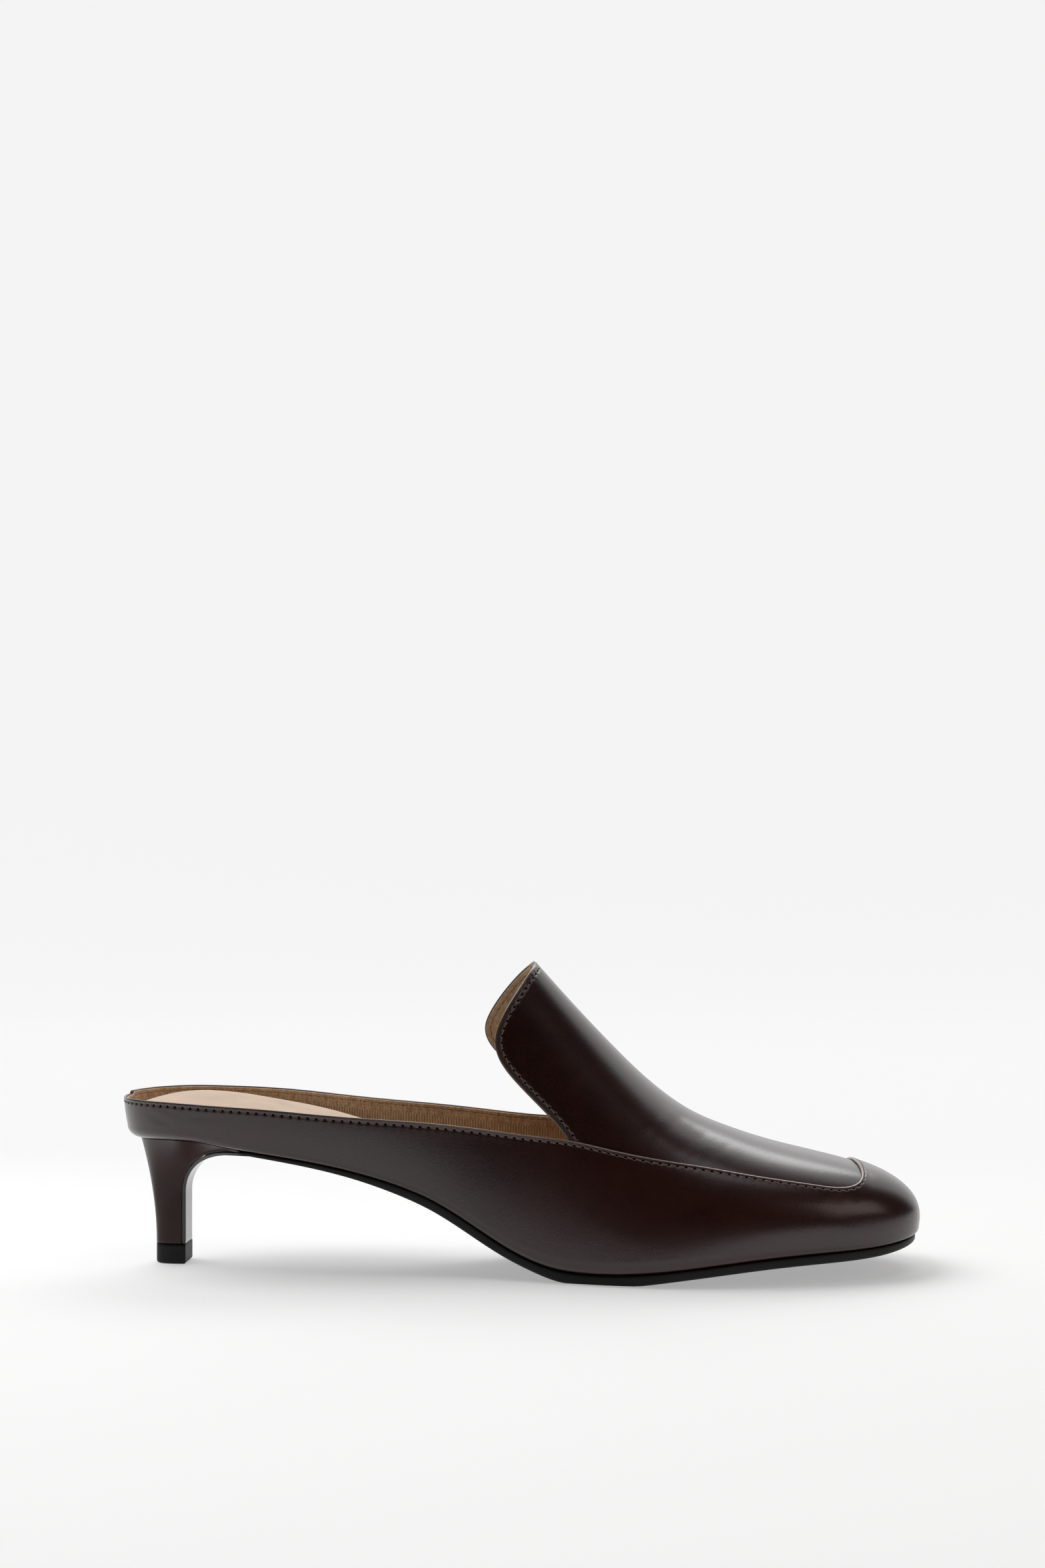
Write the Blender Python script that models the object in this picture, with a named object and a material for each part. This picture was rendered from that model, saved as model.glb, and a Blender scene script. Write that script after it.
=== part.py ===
"""Heeled loafer mule, right shoe, standing on its sole.

Every piece is worked out from one last. The last has a feather line, where upper and sole meet, and a
ridge along the top of the foot. A rib joins each place on the feather line to the ridge: it rolls out
from the feather on a small radius, stands up as the wall and arches over to the ridge. The quarter, the
plug with its tongue, the insole and the outsole are all cut from these ribs.

Axes: +X to the toe, -Y to the outer side, +Y to the inner side, +Z up. Tables are in millimetres.
"""

import bmesh
import bpy
import numpy as np

MM = 0.001

# Points closer than this are one point, in metres: as a grid is made, and after it is cut or joined.
SAME_POINT = 0.00001
SLIVER = 0.00003
SHARP_DEGREES = 40.0

# Leather and gaps.
WALL = 1.6
PLUG_STEP = 0.8
PLUG_WALL = 1.5
PLUG_TUCK_DEGREES = 9.0
FOLD_RADIUS = 0.9
LASTING_MARGIN = 8.0
GAP = 0.3

# Where ribs stop standing square to the length and start to fan round the heel and the toe.
HEEL_FAN_START = -80.0
TOE_FAN_START = 68.0

# Feather line in plan, all the way round from the back of the heel along the outer side.
# Columns: x, y.
OUTLINE = (
    (-121.5, 0.0),
    (-118.0, -11.0),
    (-108.0, -18.8),
    (-95.0, -23.0),
    (-75.0, -24.8),
    (-50.0, -24.7),
    (-28.0, -24.8),
    (-8.0, -27.0),
    (10.0, -31.0),
    (28.0, -35.4),
    (47.0, -37.2),
    (66.0, -35.2),
    (85.0, -30.4),
    (102.0, -24.2),
    (113.8, -17.0),
    (120.6, -8.0),
    (122.4, 3.5),
    (120.6, 14.5),
    (114.8, 23.5),
    (103.0, 30.8),
    (84.0, 36.2),
    (63.0, 38.2),
    (44.0, 36.2),
    (27.0, 30.4),
    (10.0, 23.2),
    (-6.0, 18.6),
    (-25.0, 17.6),
    (-50.0, 20.6),
    (-75.0, 24.0),
    (-95.0, 23.0),
    (-108.0, 18.8),
    (-118.0, 11.0),
)

# Height of the feather line and thickness of the sole under it.
# Columns: x, height of the feather line, thickness of the sole.
SEAT = (
    (-121.5, 40.3, 1.2),
    (-110.0, 40.9, 1.2),
    (-98.0, 40.5, 1.2),
    (-88.0, 38.9, 1.3),
    (-78.0, 37.3, 1.4),
    (-65.0, 35.2, 1.7),
    (-50.0, 31.9, 2.2),
    (-38.0, 28.3, 2.8),
    (-26.0, 23.4, 3.3),
    (-15.0, 17.0, 3.5),
    (-5.0, 10.8, 3.3),
    (4.0, 6.4, 3.1),
    (12.0, 4.1, 3.5),
    (20.0, 3.3, 3.7),
    (32.0, 3.4, 3.6),
    (46.0, 4.6, 3.1),
    (60.0, 6.3, 3.0),
    (75.0, 7.9, 3.0),
    (90.0, 8.9, 3.0),
    (105.0, 9.6, 2.9),
    (115.0, 10.5, 2.7),
    (123.0, 11.7, 2.3),
)

# The inner side of the waist is drawn up, as an arch.
ARCH_LIFT = 2.0
ARCH_X = -38.0
ARCH_SPREAD = 26.0
ARCH_OUTER_Y = -25.0
ARCH_WIDTH = 43.0

# Top line of the last. Behind the tongue's tip it only guides the walls below it.
# Columns: x, y, z.
RIDGE = (
    (-122.0, 0.0, 112.0),
    (-80.0, 0.0, 114.0),
    (-45.0, 0.0, 125.0),
    (-22.0, 0.0, 122.5),
    (-8.0, 0.0, 109.6),
    (4.1, 0.0, 96.8),
    (16.0, 0.2, 83.6),
    (28.6, 0.6, 70.2),
    (37.0, 0.9, 61.9),
    (45.5, 1.3, 54.7),
    (54.0, 1.7, 49.1),
    (63.0, 2.1, 45.1),
    (75.0, 2.7, 40.9),
    (88.0, 3.2, 37.4),
    (100.0, 3.5, 34.5),
)

# Fullness of the ribs: exponent of the arch, radius rolled out from the feather, swell of the wall.
# Columns: x, exponent of the arch, radius of the roll, swell of the wall.
FULLNESS = (
    (-121.5, 2.0, 4.0, 2.0),
    (-105.0, 2.0, 3.2, 2.0),
    (-60.0, 2.0, 2.8, 1.8),
    (-35.0, 2.0, 2.8, 1.0),
    (-15.0, 2.0, 3.1, 0.0),
    (10.0, 2.0, 3.4, -0.5),
    (40.0, 2.05, 3.4, -0.4),
    (70.0, 2.35, 3.3, 0.3),
    (95.0, 2.7, 2.8, 0.8),
    (114.0, 3.1, 2.1, 0.5),
    (123.0, 3.3, 1.9, 0.4),
)

# The swell is fullest a third of the way up the wall, where this makes it its whole value.
SWELL_SCALE = 27.0 / 4.0

# Folded edge of the quarter: topline at the rear, raised seam round the plug in front.
# Columns: x, z.
EDGE = (
    (-127.0, 53.0),
    (-111.0, 53.1),
    (-98.0, 52.6),
    (-77.0, 51.4),
    (-60.0, 49.9),
    (-44.0, 48.7),
    (-28.0, 47.6),
    (-11.0, 45.9),
    (4.0, 44.2),
    (16.0, 43.0),
    (28.0, 40.6),
    (41.0, 38.0),
    (57.0, 35.3),
    (73.0, 32.4),
    (90.0, 29.6),
    (105.0, 26.9),
)
EDGE_INNER_RISE = 0.9

# In front the edge runs across the toe, and rounded corners join it to the two sides.
EDGE_FRONT_X = 105.0
EDGE_FRONT_Y = 3.5
EDGE_FRONT_SKEW = 0.05
EDGE_CORNER = 14.0
EDGE_LIFT = 2.2

# Free edge of the tongue seen from the side, from its foot round the corner to its tip.
# Columns: x, z.
TONGUE = (
    (16.6, 34.0),
    (10.6, 43.2),
    (5.8, 49.2),
    (-0.5, 55.6),
    (-6.4, 61.9),
    (-9.9, 67.2),
    (-10.9, 72.4),
    (-9.4, 77.4),
    (-5.9, 83.4),
    (-0.4, 90.4),
    (5.0, 95.6),
    (12.0, 101.0),
)

# Low down, the tongue's edge stands further forward on the inner side.
TONGUE_INNER_LEAD = 6.5
TONGUE_LEAD_LOW_Z = 52.0
TONGUE_LEAD_HIGH_Z = 76.0

# The tongue's edge runs square to an axis turned to the inner side.
SKEW = np.tan(np.radians(9.0))

# Surface of the padded insole at its rim and along its middle.
# Columns: x, height at the rim, height along the middle.
INSOLE = (
    (-123.0, 50.0, 50.6),
    (-112.0, 51.2, 53.4),
    (-100.0, 51.2, 54.0),
    (-88.0, 49.8, 52.7),
    (-74.0, 47.5, 50.3),
    (-60.0, 44.7, 47.4),
    (-45.0, 40.4, 42.6),
    (-30.0, 34.0, 35.6),
    (-15.0, 26.0, 27.2),
    (0.0, 18.0, 18.8),
    (15.0, 12.9, 13.3),
    (32.0, 11.5, 11.7),
    (60.0, 13.6, 13.7),
    (90.0, 16.0, 16.1),
    (121.0, 18.6, 18.6),
)
INSOLE_CLEARANCE = 0.6
INSOLE_BASE_GAP = 0.6

# Outsole edge: it stands a little proud of the feather from the waist forward, and is bevelled below.
SOLE_PROUD = 0.7
SOLE_PROUD_FROM = -30.0
SOLE_PROUD_TO = 20.0

# Columns: share of the thickness, bevel.
SOLE_EDGE = (
    (0.0, 0.0),
    (0.62, 0.0),
    (0.9, 0.45),
    (1.0, 1.3),
)
SOLE_REST_LIFT = 0.6
SOLE_REAR_X = -83.0

# Heel: from the seat down to the top piece, with the sole's flap down its breast.
HEEL_FRONT_X = -86.0
HEEL_FRONT_Z = 37.8
HEEL_INSET = 0.3
LIFT_TOP_Z = 6.2
LIFT_BACK_X = -116.4
LIFT_FRONT_X = -106.3
LIFT_HALF_WIDTH = 5.6
LIFT_CORNER = 0.7

# Sides of the lift from its top down: height, and how far they are drawn in.
LIFT_LEVELS = (
    (LIFT_TOP_Z, 0.0),
    (0.8, 0.0),
    (0.2, 0.24),
    (0.0, 0.8),
)
FLAP_THICKNESS = 1.0
FLAP_TRIM = 0.3
LEVEL_STEP = 0.004

# How the heel's side runs in from the seat to the lift. Columns: x of the seat's edge, share of the
# height over which it runs in, ease of its start, sharpness of its turn.
HEEL_LAW = (
    (-121.5, 1.0, 1.75, 1.0),
    (-112.0, 0.95, 3.0, 1.0),
    (-100.0, 0.75, 2.8, 1.4),
    (-86.0, 0.49, 2.2, 2.2),
)

# The foremost place of the feather line lies between these shares of its length.
TOE_FROM = 0.4
TOE_TO = 0.6

# Searches along a rib stop just short of the ridge.
RIDGE_SHORT = 89.0

# How finely the pieces are divided.
SECTION_COUNT = 42
END_CROWDING = 0.45
WALL_SHARES = (0.0, 0.2, 0.4, 0.6, 0.8)
PLUG_START_X = -20.0
PLUG_ROWS = 10
ROLL_DEGREES = (-90.0, -60.0, -30.0)
INSOLE_ROLL_DEGREES = -35.0
INSOLE_SHARES = (0.12, 0.3, 0.5, 0.7, 0.88)
INSOLE_CROWN_POWER = 0.8
INSOLE_CROWN_WIDTH = 24.0
LIFT_RING = 20
CUTTER_HALF_WIDTH = 70.0
CUTTER_STEPS = 3
CUTTER_STEP_Y = 0.5
CUTTER_CORNERS = ((12.0, 140.0), (-70.0, 140.0), (-70.0, 26.0), (17.0, 26.0))
HEEL_RING = 30
HEEL_LEVELS = (0.0, 0.006, 0.02, 0.045, 0.085, 0.14, 0.21, 0.3, 0.4, 0.52, 0.66, 0.82, 1.0)
FLAP_LEVELS = (0.012, 0.03, 0.06, 0.1, 0.155, 0.22, 0.3, 0.38, 0.49, 0.75, 1.0)

LEATHER = ("brown_leather", (0.030, 0.014, 0.011), 0.34)
COVER = ("brown_heel_cover", (0.030, 0.014, 0.011), 0.38)
SOLE_BLACK = ("black_sole", (0.012, 0.011, 0.011), 0.42)
LIFT_BLACK = ("black_top_piece", (0.010, 0.010, 0.010), 0.55)
SOCK = ("beige_sock", (0.520, 0.370, 0.240), 0.75)


class Spline:
    """Natural cubic spline through the rows of a table, straight beyond its two ends."""

    def __init__(self, knots, rows):
        self.knots = np.asarray(knots, float)
        self.rows = np.asarray(rows, float).reshape(len(self.knots), -1)
        step = np.diff(self.knots)
        rise = np.diff(self.rows, axis=0) / step[:, None]
        count = len(self.knots)
        system = np.eye(count)
        target = np.zeros_like(self.rows)
        for i in range(1, count - 1):
            system[i, i - 1 : i + 2] = step[i - 1], 2.0 * (step[i - 1] + step[i]), step[i]
            target[i] = 6.0 * (rise[i] - rise[i - 1])
        self.bend = np.linalg.solve(system, target)

    def __call__(self, at):
        inside = float(np.clip(at, self.knots[0], self.knots[-1]))
        i = int(np.clip(np.searchsorted(self.knots, inside) - 1, 0, len(self.knots) - 2))
        step = self.knots[i + 1] - self.knots[i]
        b = (inside - self.knots[i]) / step
        a = 1.0 - b
        curve = (a**3 - a) * self.bend[i] + (b**3 - b) * self.bend[i + 1]
        value = a * self.rows[i] + b * self.rows[i + 1] + curve * step**2 / 6.0
        if inside != at:
            value = value + self.slope(inside) * (at - inside)
        return value

    def slope(self, at, reach=0.01):
        low = max(at - reach, self.knots[0])
        high = min(at + reach, self.knots[-1])
        return (self(high) - self(low)) / (high - low)


def table(rows):
    """A spline over a table whose first column is the place along the shoe."""
    return Spline([row[0] for row in rows], [row[1:] for row in rows])


def closed_outline(rows, overlap=4):
    """The feather line as a spline of its length, with the start of the toe's and the line's end."""
    points = np.array(rows + rows[:1], float)
    lengths = np.concatenate([[0.0], np.cumsum(np.linalg.norm(np.diff(points, axis=0), axis=1))])
    total = lengths[-1]
    knots = np.concatenate([lengths[-overlap - 1 : -1] - total, lengths, lengths[1 : overlap + 1] + total])
    looped = np.concatenate([points[-overlap - 1 : -1], points, points[1 : overlap + 1]])
    return Spline(knots, looped), total


OUTLINE_CURVE, OUTLINE_LENGTH = closed_outline(OUTLINE)
SEAT_CURVE = table(SEAT)
RIDGE_CURVE = table(RIDGE)
FULLNESS_CURVE = table(FULLNESS)
EDGE_CURVE = table(EDGE)
INSOLE_CURVE = table(INSOLE)
HEEL_LAW_CURVE = table(HEEL_LAW)
TONGUE_CURVE = Spline(range(len(TONGUE)), TONGUE)


def bisect(value, low, high, steps=40):
    """The place between low and high where value, which rises, passes nought."""
    for _ in range(steps):
        middle = 0.5 * (low + high)
        if value(middle) < 0.0:
            low = middle
        else:
            high = middle
    return 0.5 * (low + high)


def smooth_step(value, start, end):
    share = float(np.clip((value - start) / (end - start), 0.0, 1.0))
    return share * share * (3.0 - 2.0 * share)


TOE_LENGTH = bisect(lambda s: -OUTLINE_CURVE.slope(s)[0], TOE_FROM * OUTLINE_LENGTH, TOE_TO * OUTLINE_LENGTH)
TOE_X = float(OUTLINE_CURVE(TOE_LENGTH)[0])
HEEL_X = float(OUTLINE_CURVE(0.0)[0])


def length_at(x, inner):
    """Length along the feather line where it passes x, on the outer or the inner side."""
    x = float(np.clip(x, HEEL_X, TOE_X))
    if inner:
        return bisect(lambda s: x - OUTLINE_CURVE(s)[0], TOE_LENGTH, OUTLINE_LENGTH)
    return bisect(lambda s: OUTLINE_CURVE(s)[0] - x, 0.0, TOE_LENGTH)


def outline_point(s, offset=0.0):
    """A point of the feather line in plan, moved outwards by offset."""
    x, y = OUTLINE_CURVE(s)
    along = OUTLINE_CURVE.slope(s)
    along = along / np.linalg.norm(along)
    return np.array([x + along[1] * offset, y - along[0] * offset])


def seat_height(x, y):
    """Height of the last's bottom, which rises to the inner side in the waist."""
    arch = ARCH_LIFT * np.exp(-(((x - ARCH_X) / ARCH_SPREAD) ** 2))
    return float(SEAT_CURVE(x)[0]) + arch * (y - ARCH_OUTER_Y) / ARCH_WIDTH


def sole_thickness(x):
    return float(SEAT_CURVE(x)[1])


def rib_foot_x(x):
    """Where on the ridge the rib from x on the feather line ends: ribs fan at heel and toe."""
    if x > TOE_FAN_START:
        span = TOE_X - TOE_FAN_START
        share = min((x - TOE_FAN_START) / span, 1.0)
        return TOE_FAN_START + 0.5 * span * (share + np.sin(np.pi * share) / np.pi)
    if x < HEEL_FAN_START:
        span = HEEL_FAN_START - HEEL_X
        share = min((HEEL_FAN_START - x) / span, 1.0)
        return HEEL_FAN_START - 0.5 * span * (share + np.sin(np.pi * share) / np.pi)
    return x


class Rib:
    """One rib of the last, from its feather point over the wall to the ridge."""

    def __init__(self, s):
        self.feather = np.array(OUTLINE_CURVE(s))
        self.z = seat_height(*self.feather)
        x = self.feather[0]
        self.ridge_x = rib_foot_x(x)
        ridge_y, self.ridge_z = RIDGE_CURVE(self.ridge_x)
        self.ridge_slope = RIDGE_CURVE.slope(self.ridge_x)[1]
        out = self.feather - np.array([self.ridge_x, ridge_y])
        self.width = float(np.linalg.norm(out))
        self.out = out / self.width
        self.exponent, self.roll, self.swell = FULLNESS_CURVE(x)

    def bulge(self, rise):
        """How far the wall swells out at a share of its rise."""
        return SWELL_SCALE * self.swell * rise * (1.0 - rise) ** 2

    def at(self, degrees, depth=0.0):
        """A point on the rib: -90 is the feather, 0 the top of the roll, 90 the ridge."""
        if degrees < 0.0:
            turn = np.radians(degrees + 90.0)
            out = (self.roll - depth) * np.sin(turn)
            up = self.roll - (self.roll - depth) * np.cos(turn)
            return np.array([*(self.feather + self.out * out), self.z + up])
        turn = np.radians(min(degrees, 90.0))
        across = max(np.cos(turn), 0.0) ** (2.0 / self.exponent)
        rise = np.sin(turn) ** (2.0 / self.exponent)
        out = -self.width + (self.width + self.roll) * across + self.bulge(rise)
        plan = self.feather + self.out * out
        top = self.ridge_z + self.ridge_slope * (plan[0] - self.ridge_x)
        height = top - self.z - self.roll
        point = np.array([*plan, self.z + self.roll + height * rise])
        if depth:
            lean = np.array([across ** (self.exponent - 1.0) / (self.width + self.roll),
                             rise ** (self.exponent - 1.0) / height])
            lean /= np.linalg.norm(lean)
            normal = np.array([*(self.out * lean[0]), lean[1]])
            normal[0] -= self.ridge_slope * lean[1] * rise
            point -= normal / np.linalg.norm(normal) * depth
        return point

    def degrees_at_height(self, target):
        """Where on the rib the height curve target(x) is reached."""
        def above(degrees):
            point = self.at(degrees)
            return point[2] - target(point[0])
        return bisect(above, 0.0, RIDGE_SHORT)

    def edge_degrees(self):
        """Where the quarter's folded edge, with its rounded front corners, crosses the rib."""
        rise = EDGE_INNER_RISE if self.feather[1] > EDGE_FRONT_Y else 0.0

        def inside(degrees):
            x, y, z = self.at(degrees)
            above = EDGE_LIFT * (z - float(EDGE_CURVE(x)[0]) - rise)
            behind = EDGE_FRONT_X - EDGE_FRONT_SKEW * (y - EDGE_FRONT_Y) - x
            overlap = max(EDGE_CORNER - abs(above - behind), 0.0)
            return min(above, behind) - overlap**2 / (4.0 * EDGE_CORNER)

        return bisect(inside, 0.0, RIDGE_SHORT)


def mesh_object(name, points, faces, finish=None):
    """A mesh object from points in millimetres, with doubles merged and faces turned outwards."""
    mesh = bpy.data.meshes.new(name)
    mesh.from_pydata([tuple(float(v) * MM for v in point) for point in points], [], faces)
    shape = bmesh.new()
    shape.from_mesh(mesh)
    bmesh.ops.remove_doubles(shape, verts=shape.verts, dist=SAME_POINT)
    bmesh.ops.dissolve_degenerate(shape, edges=shape.edges, dist=SAME_POINT)
    bmesh.ops.recalc_face_normals(shape, faces=shape.faces)
    shape.to_mesh(mesh)
    shape.free()
    obj = bpy.data.objects.new(name, mesh)
    bpy.context.scene.collection.objects.link(obj)
    if finish:
        mesh.materials.append(material(*finish))
    mesh.shade_smooth()
    mesh.set_sharp_from_angle(angle=np.radians(SHARP_DEGREES))
    return obj


def material(name, colour, roughness):
    """A Principled material with the piece's plain colour."""
    made = bpy.data.materials.get(name) or bpy.data.materials.new(name)
    made.use_nodes = True
    shader = made.node_tree.nodes["Principled BSDF"]
    shader.inputs["Base Color"].default_value = (*colour, 1.0)
    shader.inputs["Roughness"].default_value = roughness
    shader.inputs["Metallic"].default_value = 0.0
    return made


def grid_faces(rows, columns, wrap_rows=False, wrap_columns=False):
    """Quads between the points of a grid that are listed row by row."""
    faces = []
    for i in range(rows if wrap_rows else rows - 1):
        here = i * columns
        there = (i + 1) % rows * columns
        for j in range(columns if wrap_columns else columns - 1):
            k = (j + 1) % columns
            faces.append((here + j, here + k, there + k, there + j))
    return faces


def crowded(share):
    """An even share of the way from heel to toe, drawn closer at both ends."""
    return share - END_CROWDING * np.sin(2.0 * np.pi * share) / (2.0 * np.pi)


def sections(start_x=-1000.0):
    """Places on the outer and the inner side that stand at the same x, beyond start_x to the toe."""
    places = []
    for i in range(SECTION_COUNT):
        outer = TOE_LENGTH * crowded(i / SECTION_COUNT)
        x = OUTLINE_CURVE(outer)[0]
        if x > start_x:
            inner = length_at(x, True) if i else OUTLINE_LENGTH
            places.append((outer, inner))
    return places + [(TOE_LENGTH, TOE_LENGTH)]


def quarter():
    """The quarter and mudguard: a wall all round, with its lasting margin turned in below."""
    points = []
    places = sections()
    lengths = [outer for outer, _ in places] + [inner for _, inner in places[-2:0:-1]]
    for s in lengths:
        rib = Rib(s)
        edge = rib.edge_degrees()
        fold = np.degrees(FOLD_RADIUS / (rib.width + rib.roll))
        wall = [(edge - fold) * share for share in WALL_SHARES]
        turned = rib.feather - rib.out * LASTING_MARGIN
        turned_z = seat_height(*turned)
        loop = [np.array([*turned, turned_z])]
        loop += [rib.at(degrees) for degrees in (*ROLL_DEGREES, *wall, edge - fold)]
        loop += [rib.at(edge, 0.5 * WALL)]
        back = (edge - fold, *wall[::-1], ROLL_DEGREES[-1], ROLL_DEGREES[0])
        loop += [rib.at(degrees, WALL) for degrees in back]
        loop += [np.array([*turned, turned_z + WALL])]
        points += loop
    faces = grid_faces(len(lengths), len(loop), wrap_rows=True, wrap_columns=True)
    return mesh_object("upper", points, faces, LEATHER)


def plug():
    """The plug and its tongue as one sheet over the arch, tucked under the quarter's edge."""
    points = []
    stations = sections(PLUG_START_X)
    for outer, inner in stations:
        for depth in (PLUG_STEP, PLUG_STEP + PLUG_WALL):
            for s, turn in ((outer, 1), (inner, -1)):
                rib = Rib(s)
                low = rib.edge_degrees() - PLUG_TUCK_DEGREES
                shares = [i / PLUG_ROWS for i in range(PLUG_ROWS + 1)]
                row = [rib.at(low + (90.0 - low) * share, depth) for share in shares]
                points += row if turn > 0 else row[-2::-1]
    across = 2 * PLUG_ROWS + 1
    faces = []
    for i in range(len(stations) - 1):
        for j in range(across - 1):
            upper = [2 * i * across + j, 2 * i * across + j + 1]
            upper += [2 * (i + 1) * across + j + 1, 2 * (i + 1) * across + j]
            faces.append(tuple(upper))
            faces.append(tuple(index + across for index in reversed(upper)))
        for j in (0, across - 1):
            faces.append((2 * i * across + j, 2 * (i + 1) * across + j,
                          2 * (i + 1) * across + across + j, 2 * i * across + across + j))
    for j in range(across - 1):
        faces.append((j, j + 1, across + j + 1, across + j))
    return mesh_object("plug_sheet", points, faces, LEATHER)


def tongue_cutter():
    """A guide that takes away the sheet behind the tongue's free edge."""
    steps = CUTTER_STEPS * (len(TONGUE) - 1)
    profile = [TONGUE_CURVE(i / CUTTER_STEPS) for i in range(steps + 1)]
    profile += [np.array(corner) for corner in CUTTER_CORNERS]
    points = []
    for y in (-CUTTER_HALF_WIDTH, -CUTTER_STEP_Y, CUTTER_STEP_Y, CUTTER_HALF_WIDTH):
        lead = TONGUE_INNER_LEAD if y > 0.0 else 0.0
        for i, (x, z) in enumerate(profile):
            low = 1.0 - smooth_step(z, TONGUE_LEAD_LOW_Z, TONGUE_LEAD_HIGH_Z)
            ahead = lead * low if i <= steps else 0.0
            points.append((x + ahead - SKEW * y, y, z))
    count = len(profile)
    faces = grid_faces(4, count, wrap_columns=True)
    faces += [tuple(range(count)), tuple(range(4 * count - 1, 3 * count - 1, -1))]
    obj = mesh_object("tongue_cutter", points, faces)
    obj.hide_render = True
    obj.display_type = "WIRE"
    return obj


def apply_boolean(obj, other, operation):
    """Joins or cuts obj with other and keeps the result as its mesh."""
    step = obj.modifiers.new(operation.lower(), "BOOLEAN")
    step.operation = operation
    step.object = other
    step.solver = "EXACT"
    seen = obj.evaluated_get(bpy.context.evaluated_depsgraph_get())
    made = bpy.data.meshes.new_from_object(seen)
    shape = bmesh.new()
    shape.from_mesh(made)
    bmesh.ops.remove_doubles(shape, verts=shape.verts, dist=SLIVER)
    bmesh.ops.dissolve_degenerate(shape, edges=shape.edges, dist=SLIVER)
    bmesh.ops.triangulate(shape, faces=shape.faces)
    shape.to_mesh(made)
    shape.free()
    obj.modifiers.clear()
    obj.data = made
    bpy.data.objects.remove(other)


def upper():
    """The hollow upper: quarter ring and plug sheet in one piece."""
    body = quarter()
    sheet = plug()
    apply_boolean(sheet, tongue_cutter(), "DIFFERENCE")
    apply_boolean(body, sheet, "UNION")
    return body


def insole():
    """The padded insole, filling the inside of the wall above the lasting margin."""
    points = []
    stations = sections()
    depth = WALL + INSOLE_CLEARANCE
    for outer, inner in stations:
        sides = []
        for s in (outer, inner):
            rib = Rib(s)
            rim = rib.degrees_at_height(lambda at: float(INSOLE_CURVE(at)[0]))
            foot = rib.at(-90.0, WALL + INSOLE_BASE_GAP)
            foot[:2] -= rib.out * INSOLE_CLEARANCE
            rises = (INSOLE_ROLL_DEGREES, 0.5 * rim, rim)
            sides.append([foot] + [rib.at(degrees, depth) for degrees in rises])
        left, right = sides
        row = list(left)
        wide = smooth_step(np.linalg.norm(right[-1] - left[-1]), 0.0, INSOLE_CROWN_WIDTH)
        for share in INSOLE_SHARES:
            point = left[-1] + (right[-1] - left[-1]) * share
            rim_z, crown_z = INSOLE_CURVE(point[0])
            point[2] += wide * (crown_z - rim_z) * np.sin(np.pi * share) ** INSOLE_CROWN_POWER
            row.append(point)
        points += row + right[::-1]
    faces = grid_faces(len(stations), len(row) + len(right), wrap_columns=True)
    return mesh_object("insole", points, faces, SOCK)


def heel_rings():
    """Matching rings of the heel: the seat's outline and the top piece's, rear side round from -Y."""
    start = length_at(HEEL_FRONT_X, False)
    end = OUTLINE_LENGTH - length_at(HEEL_FRONT_X, True)
    front = LIFT_FRONT_X - FLAP_THICKNESS - GAP
    seat, lift = [], []
    for i in range(HEEL_RING + 1):
        share = i / HEEL_RING
        s = start - (start + end) * share
        x, y = outline_point(s if s >= 0.0 else s + OUTLINE_LENGTH, -HEEL_INSET)
        seat.append(np.array([x, y, seat_height(x, y) - GAP]))
        turn = np.pi * share
        lift.append(np.array([front + (LIFT_BACK_X - front) * np.sin(turn) ** LIFT_CORNER,
                              -LIFT_HALF_WIDTH * np.copysign(abs(np.cos(turn)) ** LIFT_CORNER, np.cos(turn)),
                              LIFT_TOP_Z + GAP]))
    for point in (seat[0], seat[-1]):
        point[2] = HEEL_FRONT_Z
    return seat, lift


def heel_point(seat, lift, level):
    """A point of the heel's side, between the seat and the lift, by the law for its place."""
    reach, ease, turn = HEEL_LAW_CURVE(seat[0])
    drawn = (1.0 - (1.0 - min(level / reach, 1.0)) ** ease) ** (1.0 / turn)
    plan = seat[:2] + (lift[:2] - seat[:2]) * drawn
    return np.array([*plan, seat[2] + (lift[2] - seat[2]) * level])


def heel():
    """The covered heel block, hollowed at the back and drawn forward in a wedge under the arch."""
    seat, lift = heel_rings()
    tip = [np.array([point[0], point[1], seat_height(point[0], point[1]) - GAP]) for point in seat]
    points = list(tip)
    for level in HEEL_LEVELS:
        points += [heel_point(a, b, level) for a, b in zip(seat, lift)]
    count = HEEL_RING + 1
    rows = len(HEEL_LEVELS) + 1
    faces = grid_faces(rows, count, wrap_columns=True)
    for j in range(count // 2):
        top = (j, j + 1, count - 2 - j, count - 1 - j)
        faces.append(top)
        faces.append(tuple(index + (rows - 1) * count for index in top[::-1]))
    return mesh_object("heel", points, faces, COVER)


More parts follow.
